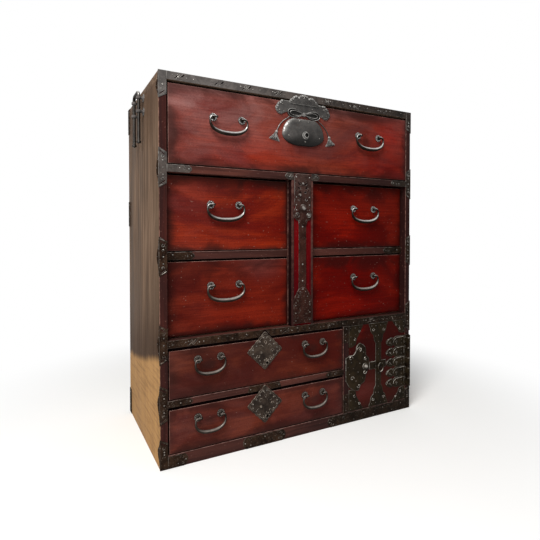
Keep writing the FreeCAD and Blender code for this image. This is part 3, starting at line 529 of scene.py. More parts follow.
def wood(name, light, dark, line, stretch, roughness, specular, edge_colour, edge_share=0.5,
         right_shade=0.0, floor_reflection=None):
    """A board with a grain along one axis, a few broad figures, and edges rubbed by wear.

    It darkens by a share at the right, which is painted shade. Below a level that falls towards the
    back, a light brown with a grain of its own is painted in, which is a painted reflection of the
    floor. Just above that level and near the top the board is darker."""
    f = Finish(name, specular)
    grain = f.noise(stretch, 1.0, 6, 0.62, 0.5)
    fine = f.noise(tuple(5 * s if s > 40 else 3 * s for s in stretch), 1.0, 5, 0.7, 0.2, 4.0)
    cloud = f.noise(tuple(s / 9 if s > 40 else 2 for s in stretch), 1.0, 4, 0.55, 0.9, 2.0)
    speck = f.noise(EVEN, 170.0, 2, 0.5, 0.0, 2.0)
    chips = f.span(f.noise(EVEN, 60.0, 3, 0.6, 0.0, 4.0), 0.38, 0.6, 0.2, 1.0)
    colour = f.mix(f.span(cloud, 0.32, 0.68), dark, light)
    streaks = f.span(grain, 0.42, 0.66, 0.0, 0.6)
    x, y, z = f.xyz()
    if floor_reflection:
        # A painted reflection of the floor, below a level that falls towards the back
        level = f.add(f.add(z, f.times(y, 0.19)), f.span(cloud, 0.3, 0.7, -0.010, 0.010))
        floor_reflection_share = f.span(level, 0.236, 0.266, 1.0, 0.0)
        drift = f.noise((5, 9, 90), 1.0, 5, 0.6, 0.5, 2.5)
        colour = f.layers(colour, (f.span(level, 0.27, 0.46, 0.66, 0.0), line),
                          (f.span(z, 0.84, 1.03, 0.0, 0.48), line), (f.times(floor_reflection_share, 0.82), floor_reflection),
                          (f.times(floor_reflection_share, f.span(drift, 0.45, 0.66, 0.0, 0.5)),
                           (0.19, 0.10, 0.045)))
        streaks = f.times(streaks, f.span(floor_reflection_share, 0.0, 1.0, 1.0, 0.25))
    f.set("Base Color", f.layers(
        colour, (streaks, line), (f.span(fine, 0.5, 0.72, 0.0, 0.35), line),
        # painted shade towards the right
        (f.span(x, -0.06, 0.36, 0.0, right_shade), (0.003, 0.0015, 0.0015)),
        (f.span(speck, 0.64, 0.76, 0.0, 0.35), edge_colour),
        (f.times(f.attribute("wear_and_light"), chips, edge_share), edge_colour)))
    f.set("Roughness", f.span(cloud, 0.3, 0.7, roughness - 0.06, roughness + 0.1))
    f.bump(grain, 0.0004, 0.35)
    f.bump(fine, 0.0002, 0.4)
    return f.material


def forged_iron(name, base, haze, roughness, specular, hammer=0.5, upper_grey=0.0,
                bright=(0.26, 0.245, 0.225), chip=0.10, low_rub=0.42):
    """Blackened iron: a mottled brown-black skin with hammer marks, its edges rubbed to metal;
    where they face the upper left, a painted highlight is added to the wear.

    A grey lies on the upper irons and thins towards the right, where the skin darkens with painted
    shade. Low irons are rubbed less. A negative rub is painted shade."""
    f = Finish(name, specular)
    mottle = f.noise(EVEN, 34.0, 6, 0.62, 0.6)
    spots = f.noise(EVEN, 210.0, 4, 0.6, 0.3, 3.0)
    broken = f.noise(EVEN, 90.0, 3, 0.5, 0.0, 6.0)
    wear_and_light = f.attribute("wear_and_light")
    x, _, z = f.xyz()
    colour = f.layers(base, (f.span(mottle, 0.34, 0.68), haze),
                      (f.span(spots, 0.56, 0.7, 0.0, 0.5), (0.045, 0.022, 0.014)),
                      # painted shade towards the right
                      (f.times(f.span(x, -0.08, 0.30, 0.0, 0.66), f.span(z, 0.3, 0.9, 0.9, 1.0)),
                       (0.0035, 0.0022, 0.0008)))
    if upper_grey:
        upper_grey_cover = f.times(f.span(z, 0.60, 1.04, 0.0, upper_grey), f.span(x, -0.45, 0.34, 1.0, 0.15),
                        f.span(mottle, 0.3, 0.7, 0.6, 1.1))
        fleck = f.noise(EVEN, 330.0, 2, 0.5, 0.0, 9.0)
        colour = f.layers(colour, (upper_grey_cover, (0.17, 0.16, 0.155)),
                          (f.span(fleck, 0.62, 0.72, 0.0, 0.55), (0.15, 0.13, 0.11)))
    # Metal rubbed bright, which is also a painted highlight where it faces the upper left
    rubbed = f.times(f.math("MAXIMUM", f.times(wear_and_light, f.span(broken, 0.42, 0.60, chip, 1.0)), 0.0),
                     f.span(z, 0.20, 0.90, low_rub, 1.0))
    low_bright = tuple(part * share for part, share in zip(bright, (0.92, 0.82, 0.76)))
    f.set("Base Color", f.layers(
        # a negative rub: painted shade
        colour, (f.span(wear_and_light, -1.0, 0.0, 0.9, 0.0), (0.004, 0.0035, 0.003)),
        (rubbed, f.mix(f.span(z, 0.3, 0.75), low_bright, bright))))
    f.set("Metallic", f.times(rubbed, 0.6))
    skin = f.span(mottle, 0.3, 0.7, roughness - 0.06, roughness + 0.1)
    f.set("Roughness", f.math("SUBTRACT", skin, f.times(rubbed, 0.16)))
    f.bump(mottle, 0.0015, hammer)
    f.bump(spots, 0.0003, 0.5)
    return f.material


# A near-black lacquer of painted shade, for rebates, gaps, slots and faces that lie in shade
SHADE_BLACK = wood("painted_shade_lacquer", (0.010, 0.003, 0.003), (0.006, 0.002, 0.002), (0.004, 0.002, 0.002),
            (100, 60, 4), 0.5, 0.02, (0.03, 0.01, 0.01))
RED = red_lacquer()
FRAME = wood("frame_lacquer", (0.080, 0.026, 0.019), (0.036, 0.014, 0.012), (0.016, 0.007, 0.006),
             (4, 90, 120), 0.36, 0.03, (0.24, 0.14, 0.12), 0.9, 0.6)
POST = wood("post_lacquer", (0.050, 0.013, 0.010), (0.024, 0.009, 0.008), (0.014, 0.006, 0.006),
            (110, 90, 4), 0.36, 0.03, (0.28, 0.14, 0.11), 0.9, 0.4)
# The side's lower part carries a painted reflection of the floor.
SIDE = wood("side_lacquer", (0.178, 0.116, 0.078), (0.092, 0.058, 0.037), (0.034, 0.017, 0.009),
            (90, 64, 2.2), 0.46, 0.006, (0.20, 0.12, 0.085), floor_reflection=(0.47, 0.26, 0.10))
TOP = wood("top_lacquer", (0.150, 0.098, 0.066), (0.085, 0.053, 0.034), (0.034, 0.017, 0.009),
           (2.4, 60, 90), 0.46, 0.01, (0.20, 0.12, 0.085))
BAR = wood("bar_lacquer", (0.135, 0.001, 0.002), (0.058, 0.001, 0.002), (0.022, 0.002, 0.003),
           (100, 60, 4), 0.32, 0.01, (0.16, 0.035, 0.035), 0.4)
BACK = wood("back_wood", (0.30, 0.19, 0.105), (0.235, 0.145, 0.08), (0.13, 0.075, 0.04),
            (3, 80, 70), 0.62, 0.2, (0.36, 0.25, 0.15), 0.3)
INSIDE = wood("inside_wood", (0.50, 0.36, 0.21), (0.42, 0.29, 0.16), (0.27, 0.17, 0.09),
              (60, 4, 70), 0.6, 0.2, (0.52, 0.40, 0.26), 0.25)
IRON = forged_iron("plate_iron", (0.006, 0.003, 0.0018), (0.031, 0.016, 0.009), 0.42, 0.03,
                   upper_grey=0.56)
BAR_IRON = forged_iron("bar_iron", (0.015, 0.0055, 0.004), (0.040, 0.015, 0.011), 0.42, 0.02,
                       upper_grey=0.32)
DIAMOND_IRON = forged_iron("diamond_iron", (0.012, 0.008, 0.006), (0.048, 0.034, 0.025), 0.42,
                           0.06, bright=(0.46, 0.43, 0.38), low_rub=0.55)
DOOR_IRON = forged_iron("door_iron", (0.008, 0.005, 0.002), (0.034, 0.022, 0.010), 0.42, 0.04,
                        bright=(0.62, 0.64, 0.61), chip=0.3, low_rub=0.75)
LOCK = forged_iron("lock_iron", (0.009, 0.0085, 0.008), (0.026, 0.024, 0.022), 0.36, 0.12,
                   upper_grey=0.42, bright=(0.50, 0.485, 0.46), chip=0.4)
LEAF = forged_iron("leaf_iron", (0.012, 0.007, 0.005), (0.040, 0.026, 0.018), 0.62, 0.0)
NAIL = forged_iron("nail_iron", (0.03, 0.026, 0.022), (0.07, 0.062, 0.055), 0.36, 0.16, 0.2,
                   bright=(0.42, 0.40, 0.37), chip=0.2, low_rub=0.6)
BAIL = forged_iron("bail_iron", (0.008, 0.006, 0.0045), (0.022, 0.017, 0.013), 0.30, 0.03, 0.25,
                   bright=(0.60, 0.58, 0.56), chip=0.75, low_rub=0.36)


# Boards of the case

def boards(name, node, material, boxes=(), soft=1.2, body="case"):
    """Boards in some boxes, or one board in the node's own box."""
    bm = blank()
    for lo, hi in boxes or [(low(node), high(node))]:
        add_block(bm, lo, hi, soft)
    return piece(name, bm, body, material, (node,))


def repaint(thing, material, chosen):
    """Gives the chosen faces of a piece another finish."""
    thing.data.materials.append(material)
    index = len(thing.data.materials) - 1
    for polygon in thing.data.polygons:
        if chosen(polygon):
            polygon.material_index = index


def faces_front(face):
    return face.normal.y < -0.6


left_board = boards("side_board_left", "side_panel_left", SIDE)
right_board = boards("side_board_right", "side_panel_right", SIDE)
repaint(left_board, POST, lambda f: faces_front(f) or f.normal.x > 0.6)
repaint(right_board, POST, lambda f: faces_front(f) or f.normal.x < -0.6)
# The top board's front, seen in the gap under the band, is near-black painted shade.
repaint(boards("top_board", "top_panel", TOP), SHADE_BLACK, faces_front)
for rail_node in ("upper_rail", "lower_rail", "fourth_rail"):
    rail = boards(rail_node + "_board", rail_node, FRAME)
    # The lower rail's front, seen through the joints' slots, is near-black painted shade.
    if rail_node == "lower_rail":
        repaint(rail, SHADE_BLACK, faces_front)
boards("safe_partition_board", "safe_partition", POST)

STILE, GUIDE = 20.0, 12.0
RAIL_DEPTH = 30.0
BEARER_WIDTH, BEARER_OFFSET = 45.0, 300
PLANKS, PLANK_GAP = 3, 0.6
bar_left, bar_right = low("centre_partition").x, high("centre_partition").x
lo, hi = low("middle_rail"), high("middle_rail")
boards("middle_rail_boards", "middle_rail", FRAME,
       [(lo, (bar_left, hi.y, hi.z)), ((bar_right, lo.y, lo.z), hi)])
lo, hi = low("centre_partition"), high("centre_partition")
boards("centre_boards", "centre_partition", POST,
       [(lo, (hi.x, lo.y + STILE, hi.z)),
        ((lo.x, lo.y + STILE, lo.z), (lo.x + GUIDE, hi.y, hi.z)),
        ((hi.x - GUIDE, lo.y + STILE, lo.z), hi)])
lo, hi = low("base_rails"), high("base_rails")
bearer_top = low("bottom_board").z
boards("base_boards", "base_rails", FRAME,
       [(lo, (hi.x, lo.y + RAIL_DEPTH, hi.z)),
        ((lo.x, hi.y - RAIL_DEPTH, 0), (hi.x, hi.y, bearer_top))]
       + [((x - BEARER_WIDTH / 2, lo.y + RAIL_DEPTH, 0),
           (x + BEARER_WIDTH / 2, hi.y - RAIL_DEPTH, bearer_top))
          for x in (-BEARER_OFFSET, 0, BEARER_OFFSET)])
lo, hi = low("back_boards"), high("back_boards")
boards("back_planks", "back_boards", BACK,
       [((lo.x, lo.y, hi.z * i / PLANKS + PLANK_GAP / 2),
         (hi.x, hi.y, hi.z * (i + 1) / PLANKS - PLANK_GAP / 2)) for i in range(PLANKS)])
boards("bottom_plank", "bottom_board", INSIDE, soft=0.6)
dust = frame["nodes"]["dust_boards"]
dust.data.materials.clear()
dust.data.materials.append(INSIDE)


# Drawers

# A handle's size is its posts' spacing, its bail's half width, drop and radius.
LARGE = (88.0, 57.0, 43.5, 5.4)
SMALL = (68.0, 44.5, 41.0, 4.4)
POST_RADIUS = 4.5
BAIL_END = 2.6
BAIL_TIP = 3.0
CURL_DROP = 12.0
CURL_GAP = 0.8
SQUARENESS = 0.86
BOX_WALL, BOX_FLOOR = 9.0, 6.0
FRONT_SOFT = 1.3
REBATE_DEPTH = 11.0
GRID = (60, 24)
SPOT_HEIGHT = 0.6
SHADE_REACH = 42.0


def nearness(x, z, spot_x, spot_z, size):
    """How near a place is to the middle of a wide soft spot: 1 there, and 0 far off."""
    return math.exp(-hypot((x - spot_x) / size, (z - spot_z) / (size * SPOT_HEIGHT)) ** 2)


def front_board(node, body, tone, haze, spots=(), gap=3.0, top_gap=3.4, top_shade_spread=1.0, tones=(),
                rub=1.0, back=INSIDE):
    """A lacquered front: a board with a narrow rebate round its face, which carries its own looks.

    Tone and haze run from the left share to the right one; the haze is a painted reflection. The
    third of tone is how pure the red is, or a function of the place for it. The third of haze is
    how far it falls towards the bottom. A spot of negative strength darkens the board, and one of
    positive strength adds to the haze. The board darkens with painted shade towards its edges, and
    a small spread for the top widens the painted shade under its top edge. The upper and left edges
    are rubbed most, where a painted highlight is added to the wear."""
    lo, hi = low(node), high(node)
    wide, tall = hi.x - lo.x, hi.z - lo.z
    bm = blank()
    us = [lo.x + FRONT_SOFT + gap + (wide - 2 * FRONT_SOFT - 2 * gap) * i / GRID[0]
          for i in range(GRID[0] + 1)]
    vs = [lo.z + FRONT_SOFT + gap + (tall - 2 * FRONT_SOFT - gap - top_gap) * i / GRID[1]
          for i in range(GRID[1] + 1)]
    rim = [(u, vs[0]) for u in us] + [(us[-1], v) for v in vs[1:]] \
        + [(u, vs[-1]) for u in us[-2::-1]] + [(us[0], v) for v in vs[-2:0:-1]]
    grid = {(u, v): bm.verts.new(Vector((u, lo.y, v)) * MM) for u in us for v in vs}
    for near_u, far_u in zip(us, us[1:]):
        for near_v, far_v in zip(vs, vs[1:]):
            bm.faces.new([grid[c] for c in oblong(near_u, far_u, near_v, far_v)])
    rings = [[grid[c] for c in rim]]
    for grow, aside, up, depth, wear_and_light in (
            (FRONT_SOFT * 0.7, 0, 0, FRONT_SOFT * 0.3, 0.5), (FRONT_SOFT, 0, 0, FRONT_SOFT, 1.0),
            (FRONT_SOFT, 0, 0, REBATE_DEPTH, 0.0),
            (FRONT_SOFT, gap, top_gap, REBATE_DEPTH + 0.4, 0.0),
            (FRONT_SOFT, gap, top_gap, hi.y - lo.y, 0.0)):
        stretch_u = (us[-1] - us[0] + 2 * grow + 2 * aside) / (us[-1] - us[0])
        stretch_v = (vs[-1] - vs[0] + 2 * grow + aside + up) / (vs[-1] - vs[0])
        ring = [Vector((us[0] - grow - aside + (u - us[0]) * stretch_u, lo.y + depth,
                        vs[0] - grow - aside + (v - vs[0]) * stretch_v)) * MM for u, v in rim]
        # The upper and left edges are rubbed most: a painted highlight over the wear
        rings.append(add_points(bm, ring, [wear_and_light * rub * (1 if u == us[0] or v == vs[-1] else 0.35)
                                           for u, v in rim]))
    bridge(bm, rings)
    bm.faces.new(rings[-1])
    thing = piece(node + "_board", bm, body, RED, (node,))
    # The rebate's walls are near-black painted shade
    repaint(thing, SHADE_BLACK, lambda f: f.center.y / MM > lo.y + FRONT_SOFT + 0.5)
    repaint(thing, back, lambda f: f.center.y / MM > hi.y - 0.5)
    mesh = thing.data
    for look in LOOKS:
        mesh.attributes.new(look, "FLOAT", "POINT")
    tone_data, shade_and_dark_spots_data, sheen_and_pale_spots_data, rich_data = (mesh.attributes[look].data for look in LOOKS)
    for i, vertex in enumerate(mesh.vertices):
        x, z = vertex.co.x / MM, vertex.co.z / MM
        across, up = (x - lo.x) / wide, (z - lo.z) / tall
        # Painted shade: the board darkens within a reach of its edges, over a wider band under its
        # top edge
        near = min(x - lo.x, hi.x - x, z - lo.z, (hi.z - z) * top_shade_spread) / SHADE_REACH
        # The haze: a painted reflection across the board
        sheen_and_pale_spots = haze[0] * max(0.0, 1 - across) ** 1.8 + haze[1] * across
        sheen_and_pale_spots *= 1 - haze[2] * (1 - up)
        here = tone[0] + (tone[1] - tone[0]) * across
        for *spot, strength in spots:
            change = strength * nearness(x, z, *spot)
            if strength > 0:
                sheen_and_pale_spots += change
            else:
                near = min(1.0, near) + change
        for *spot, strength in tones:
            here += strength * nearness(x, z, *spot)
        tone_data[i].value = max(0.0, here)
        shade_and_dark_spots_data[i].value = min(1.0, near)
        sheen_and_pale_spots_data[i].value = min(0.85, sheen_and_pale_spots)
        rich_data[i].value = tone[2](across, up) if callable(tone[2]) else tone[2]


def drawer_box(drawer):
    lo, hi = low(drawer + "_box"), high(drawer + "_box")
    left, right, back = lo.x + BOX_WALL, hi.x - BOX_WALL, hi.y - BOX_WALL
    boards(drawer + "_box_boards", drawer + "_box", INSIDE,
           [(lo, (left, hi.y, hi.z)), ((right, lo.y, lo.z), hi),
            ((left, back, lo.z), (right, hi.y, hi.z)),
            ((left, lo.y, lo.z), (right, back, lo.z + BOX_FLOOR))], 0.7, drawer)


def bail_points(size):
    """Half of a bail's middle line as (x, z, share of the full thickness), from tip to middle."""
    spacing, half_width, drop, _ = size
    eye = spacing / 2
    bend = eye + POST_RADIUS + CURL_GAP
    route = [(-(eye - POST_RADIUS - BAIL_TIP), 0, 0), (-eye, 0, 0)]
    for i in range(7):
        turn = pi / 2 * i / 6
        route.append((-bend - (half_width - bend) * sin(turn), -CURL_DROP * (1 - cos(turn)), 0))
    for i in range(1, 13):
        turn = pi / 2 * i / 12
        route.append((-half_width * cos(turn) ** SQUARENESS,
                      -CURL_DROP - (drop - CURL_DROP) * sin(turn) ** SQUARENESS, sin(turn)))
    return route


def handle(node, size):
    """A drop handle: a tapered bail whose two ends pass through the posts' eyes."""
    centre = pivot[node]
    left = bail_points(size)
    whole = left + [(-x, z, share) for x, z, share in reversed(left[:-1])]
    bm = blank()
    points = [Vector((centre.x + x, centre.y, centre.z + z)) for x, z, _ in whole]
    radii = [BAIL_END + 0.2 + (size[3] * 1.1 - BAIL_END) * share ** 1.1 for _, _, share in whole]
    add_tube(bm, points, radii, 16, up=Vector((0, 1, 0)), wear_and_light=front_highlight_and_wear)
    for end in (points[0], points[-1]):
        bmesh.ops.create_uvsphere(bm, u_segments=12, v_segments=8, radius=3.5 * MM,
                                  matrix=Matrix.Translation(end * MM))
    piece(node + "_bail", bm, node, BAIL, (node,), 1.0)


def add_rosette(bm, at, u, v, petals=12, radius=12.0):
    """A chrysanthemum of beads on a notched plate, with a collar for its post."""
    rim = [(u + radius * share * cos(pi * i / petals), v + radius * share * sin(pi * i / petals))
           for i, share in enumerate((0.9, 1) * petals)]
    add_plate(bm, at, [rim], 0, 1.5, 0.5, 0.25)
    for i in range(petals):
        turn = 2 * pi * (i + 0.5) / petals
        outlines = []
        for t in (0, 0.45, 0.9, 1.3):
            oval = circle(0, 0, cos(t), 10)
            outlines.append(([(u + (9.0 + 2.9 * a) * cos(turn) - 1.9 * b * sin(turn),
                               v + (9.0 + 2.9 * a) * sin(turn) + 1.9 * b * cos(turn))
                              for a, b in oval], 1.2 + 1.9 * sin(t)))
        add_rings(bm, at, outlines, (0, 0, 0.6, 1.0))
    add_lathe(bm, at, u, v, [(6.2, 1.0), (6.0, 2.4), (4.2, 3.2), (3.2, 4.6), (2.9, 7.0)],
              wear_and_light=(0, 0.4, 0, 0, 0))


def posts(drawer, y, handles):
    """The posts of a drawer: a rosette each, a neck, and an eye that the bail turns in."""
    bm = blank()
    for node, size in handles:
        centre = pivot[node]
        for x in (centre.x - size[0] / 2, centre.x + size[0] / 2):
            add_rosette(bm, front_at(y), x, centre.z)
            eye = [Vector((x, py, pz)) for py, pz in circle(centre.y, centre.z, 4.3, 18)]
            add_tube(bm, eye, 1.35, 8, True, wear_and_light=front_highlight_and_wear)
    piece(drawer + "_posts", bm, drawer, BAIL, (drawer + "_fittings",), 0.9)


# Each drawer's tone, haze (a painted reflection), spots and tones, as front_board takes them
DRAWERS = (
    ("top_drawer", (0.46, 0.20, lambda across, up: 0.8 * min(1, max(0, 4 * across - 2.7))),
     (0.62, 0.12, 0.8),
     ((-106, 936, 34, -0.7), (94, 936, 26, -0.45), (0, 894, 70, -0.4), (-428, 905, 34, -0.4),
      (-440, 850, 40, -0.3), (180, 1000, 90, -0.35), (330, 900, 60, -0.25)),
     ((-200, 862, 150, 0.46), (-60, 860, 80, 0.12), (-330, 985, 70, 0.28), (345, 975, 60, 0.50),
      (270, 862, 150, 0.48))),
    ("second_left_drawer", (0.66, 0.70, 0.0), (0.10, 0.0, 0.4), (), ((-150, 625, 110, 0.10),)),
    ("second_right_drawer", (0.35, 0.13, 1.0), (0.0, 0.0, 0.0), (), ((200, 630, 130, 0.30),)),
    ("third_left_drawer", (0.17, 0.42, 0.5), (0.03, 0.0, 0.3), ((-140, 548, 70, 0.12),),
     ((-240, 400, 130, 0.16),)),
    ("third_right_drawer", (0.44, 0.20, 1.0), (0.0, 0.0, 0.0), (),
     ((235, 400, 150, 0.35), (235, 545, 110, 0.30))),
    ("fourth_drawer", (0.09, 0.22, 0.0), (0.07, 0.0, 0.1), (), ()),
    ("fifth_drawer", (0.17, 0.20, 0.0), (0.08, 0.07, 0.0), (), ()),
)

for drawer, tone, haze, spots, tones in DRAWERS:
    y = low(drawer + "_front").y
    set_back = y > face_y + 1
    size, darkening = (SMALL, -1.0) if drawer in ("fourth_drawer", "fifth_drawer") else (LARGE, -0.6)
    ends = ("_handle",) if set_back else ("_handle_left", "_handle_right")
    handles = [(drawer + end, size) for end in ends]
    spots += tuple((pivot[node].x, pivot[node].z - size[2] * 0.45, size[0] * 0.42, darkening)
                   for node, _ in handles)
    front_board(drawer + "_front", drawer, tone, haze, spots, 3.0, 3.4 if set_back else 6.0,
                0.44 if set_back else 1.0, tones)
    drawer_box(drawer)
    posts(drawer, y, handles)
    for node, _ in handles:
        handle(node, size)


# Irons of the case

IRON_DEPTH = 1.5
REAR_DEPTH = 0.9
REAR_REACH = 28.0
LEAF_DEPTH = 0.9
LEAF_REACH = 27.0
BASE_TOP, BASE_BOTTOM = 34.0, 1.0
JOINT = 8.5
DIAMOND = (58.0, 57.0)
DIAMOND_OVERLAP = 15.5
NOTCH_GAP = 3.0
HEAD = (61.0, 160.0)
DOOR_LOCK_LEVELS = (98.0, 271.0)
LEAF_SHARES = ((-0.2 / LEAF_REACH, 0, 0), (0.22, 0.10, -0.16), (0.52, 0.29, 0.2), (1, 0.5, 0.2),
               (0.52, 0.71, -0.16), (0.22, 0.90, 0), (-0.2 / LEAF_REACH, 1, 0))
LEFT_FREE, RIGHT_FREE, BOTH_FREE = (True, False), (False, True), (True, True)

fourth_z, lower_z, middle_z, upper_z = (
    levels(node) for node in ("fourth_rail", "lower_rail", "middle_rail", "upper_rail"))
band_z = (low("top_panel").z, case_top)
bar_middle = (bar_left + bar_right) / 2
partition_left, partition_right = low("safe_partition").x, high("safe_partition").x
low_centre = (-inner_x + partition_left) / 2
front, face = front_at(front_y), front_at(face_y)
rails = Iron(front, IRON_DEPTH)
set_back_rails = Iron(front_at(middle_y), IRON_DEPTH, rails.bm, rails.nails)
post_straps = Iron(front, IRON_DEPTH, nails=rails.nails)
leaf_bm = blank()


def post_iron(side, z0, z1, slope0=12, slope1=12):
    """A strap on one post: a plate with drawn ends in front, and a lobed leaf round the side."""
    outer, inner = side * (side_x + IRON_DEPTH), side * inner_x
    centre = side * (side_x + inner_x) / 2
    drawn = [(z, up) for slope, z, up in ((slope0, z0, 1), (slope1, z1, -1)) if slope]
    gaps = [[(outer - side * 3.2, z + up * 8), (inner + side * 5.0, z + up * 18),
             (inner + side * 5.0, z + up * 21.4), (outer - side * 3.2, z + up * 11.4)]
            for z, up in drawn]
    post_straps.plate([(outer, z0), (inner, z0 + slope0), (inner, z1 - slope1), (outer, z1)],
                      band=0.5, holes=gaps)
    for z, up in drawn:
        post_straps.curl(centre + side * 1.5, z + up * 23.5, 5.2, -up * 0.5, up * 0.9, 1.0, 1)
        post_straps.ridge([(outer - side * 3, z + up * 5.5), (centre, z + up * 9.5),
                           (inner + side * 2.5, z + up * 14.5)], 0.9, 1)
        post_straps.nail(centre, z + up * 35)
    post_straps.nail(centre, (z0 + z1) / 2)
    leaf = Iron(side_at(side, side_x), 0.8, leaf_bm, rails.nails)
    leaf.plate(placed(LEAF_SHARES, front_y, z0, LEAF_REACH, z1 - z0), 0.4, 0.3, 0.5,
               rise=LEAF_DEPTH)
    for u, v in ((0.76, 0.5), (0.3, 0.3), (0.3, 0.7), (0.12, 0.13), (0.12, 0.87)):
        leaf.nail(front_y + LEAF_REACH * u, z0 + (z1 - z0) * v, 1.2)


def rear_iron(side, z0, z1):
    """A strap round one rear edge. On the back its nails are less proud than it is thick."""
    for inner, outer, y in ((side_x, side_x + IRON_DEPTH, back_y - REAR_REACH),
                            (side_x - REAR_REACH, side_x + 1.4, back_y)):
        x0, x1 = sorted((side * inner, side * outer))
        add_block(leaf_bm, (x0, y, z0), (x1, back_y + REAR_DEPTH, z1), 0.4)
    for i in range(4):
        v, inward = z0 + (z1 - z0) * (i + 0.5) / 4, 18 if i % 2 else 8
        add_nail(rails.nails, side_at(side, side_x), back_y - inward, v, IRON_DEPTH)
        add_nail(rails.nails, back_at(back_y), side * (side_x - inward), v, REAR_DEPTH - 0.95, 1.5)


def lobed_ends(x0, x1, z, ends, lobes):
    """The outline of a long plate whose ends are straight, or lobed up to a point in the middle.

    A lobe starts at (distance back from the point, share of half the height)."""
    half = (z[1] - z[0]) / 2
    vertices = []
    for x, sign, drawn, start in ((x1, 1, ends[1], z[0]), (x0, -1, ends[0], z[1])):
        path = lobes + tuple((back, 2 - up) for back, up in lobes[-2::-1]) if drawn \
            else ((0, 0), (0, 2))
        vertices += [(x - sign * back, start + sign * half * up, 0.3 if drawn else 0)
                     for back, up in path]
        vertices[-1] = (*vertices[-1][:2], 0)
    return vertices


def rail_iron(iron, x0, x1, z, ends):
    """An iron along a rail. Each end is plain, or drawn to a lobed point."""
    half, middle = (z[1] - z[0]) / 2, (z[0] + z[1]) / 2
    iron.plate(lobed_ends(x0, x1, z, ends, ((half, 0), (half * 0.45, 0.45), (0, 1))))
    for drawn, x, sign in ((ends[0], x0, 1), (ends[1], x1, -1)):
        if drawn:
            iron.nail(x + sign * half * 0.9, middle, 1.6)
            iron.curl(x + sign * half * 2.3, middle, half * 0.55, pi / 2, sign * 0.9, 0.65)
    count = max(1, int((x1 - x0) / 36))
    for i in range(count):
        iron.nail(x0 + (x1 - x0) * (i + 0.5) / count, middle + half * CHANCE.uniform(-0.35, 0.35),
                  1.6)


def base_iron(x0, x1, ends):
    """An iron on the base rail, whose free ends are cut in five lobes."""
    middle = (BASE_BOTTOM + BASE_TOP) / 2
    rails.plate(lobed_ends(x0, x1, (BASE_BOTTOM, BASE_TOP), ends,
                           ((16.5, 0), (9, 0.06), (3, 0.40), (0, 1))))
    for drawn, x, sign in ((ends[0], x0, 1), (ends[1], x1, -1)):
        if drawn:
            for up in (-1, 1):
                rails.curl(x + sign * 15, middle + up * 7, 5.5, pi / 2 * (1 - sign),
                           sign * up * 0.9, 0.8)
            rails.nail(x + sign * 6, middle)
    count = max(1, int((x1 - x0) / 40))
    for i in range(count):
        rails.nail(x0 + (x1 - x0) * (i + 0.5) / count, middle + (8 if i % 2 else -8), 1.6)


def joint_slots(z, joints):
    """Two slanting gaps through a band at each joint, where the ends of its irons meet."""
    v = sum(z) / 2
    slots = []
    for u, flip in joints:
        for s in (-JOINT, JOINT):
            near, far = u + s * flip * 0.70, u + s * flip * 1.60
            slots.append([(near - 2.0, v - s * 0.10), (near + 2.0, v - s * 0.10),
                          (far + 2.0, v + s * 0.78), (far - 2.0, v + s * 0.78)])
    return slots


def joint_scrolls(z, joints):
    """The facing curls between the two slanting gaps of each joint, and a nail beyond them."""
    v = sum(z) / 2
    for u, flip in joints:
        for s in (-JOINT, JOINT):
            rails.ridge([(u + s * flip * 0.30, v - s * 0.02), (u + s * flip * 1.05, v + s * 0.80)],
                        1.15, 1)
            rails.ridge(spiral(u + s * flip * 0.25, v - s * 0.30, JOINT * 0.52, 0 if s > 0 else pi,
                               -0.85 * flip, 0.35, 12), 1.05, 1)
            rails.nail(u + s * flip * 2.3, v - s * 0.2, 1.7)


def band_nails(z, first, step, count, about, clear, wander):
    """A row of nails along a band, clear of what lies across it."""
    for i in range(count):
        u = first + i * step
        if abs(u - about) > clear:
            rails.nail(u, sum(z) / 2 + CHANCE.uniform(-wander, wander), 1.5)


for side in (-1, 1):
    for z in [lower_z, middle_z, upper_z] + ([fourth_z] if side < 0 else []):
        post_iron(side, sum(z) / 2 - 54, sum(z) / 2 + 54)
    post_iron(side, case_top - 74, case_top, 12, 0)
    post_iron(side, BASE_BOTTOM, 84.0, 0, 12)
    for z in ((case_top - 86, case_top), (661, 747), (BASE_BOTTOM, 86)):
        rear_iron(side, *z)
piece("post_iron_plates", post_straps.bm, "case", IRON, ("post_irons",))
piece("side_iron_leaves", leaf_bm, "case", LEAF, ("post_irons",))

# A joint is its place along the band, and 1 or -1 for the way it leans.
TOP_JOINTS = ((-398, 1), (-283, 1), (-198, 1), (-92, 1), (88, -1), (200, -1), (318, -1))
LOW_JOINTS = ((-364, 1), (-64, 1), (95, -1), (270, 1), (365, -1))
rails.plate(oblong(-inner_x, inner_x, *band_z), 0.6, band=0.5,
            holes=joint_slots(band_z, TOP_JOINTS))
joint_scrolls(band_z, TOP_JOINTS)
band_nails(band_z, -410, 51.0, 17, 0, 62, 3)
head_half = HEAD[0] / 2 + 3
for iron, x0, x1, z, ends in (
        (rails, -inner_x, -inner_x + 70, upper_z, RIGHT_FREE),
        (rails, inner_x - 70, inner_x, upper_z, LEFT_FREE),
        (rails, bar_middle - head_half - 30, bar_middle - head_half, upper_z, LEFT_FREE),
        (rails, bar_middle + head_half, bar_middle + head_half + 30, upper_z, RIGHT_FREE),
        (set_back_rails, -inner_x, -inner_x + 84, middle_z, RIGHT_FREE),
        (set_back_rails, inner_x - 84, inner_x, middle_z, LEFT_FREE)):
    rail_iron(iron, x0, x1, z, ends)

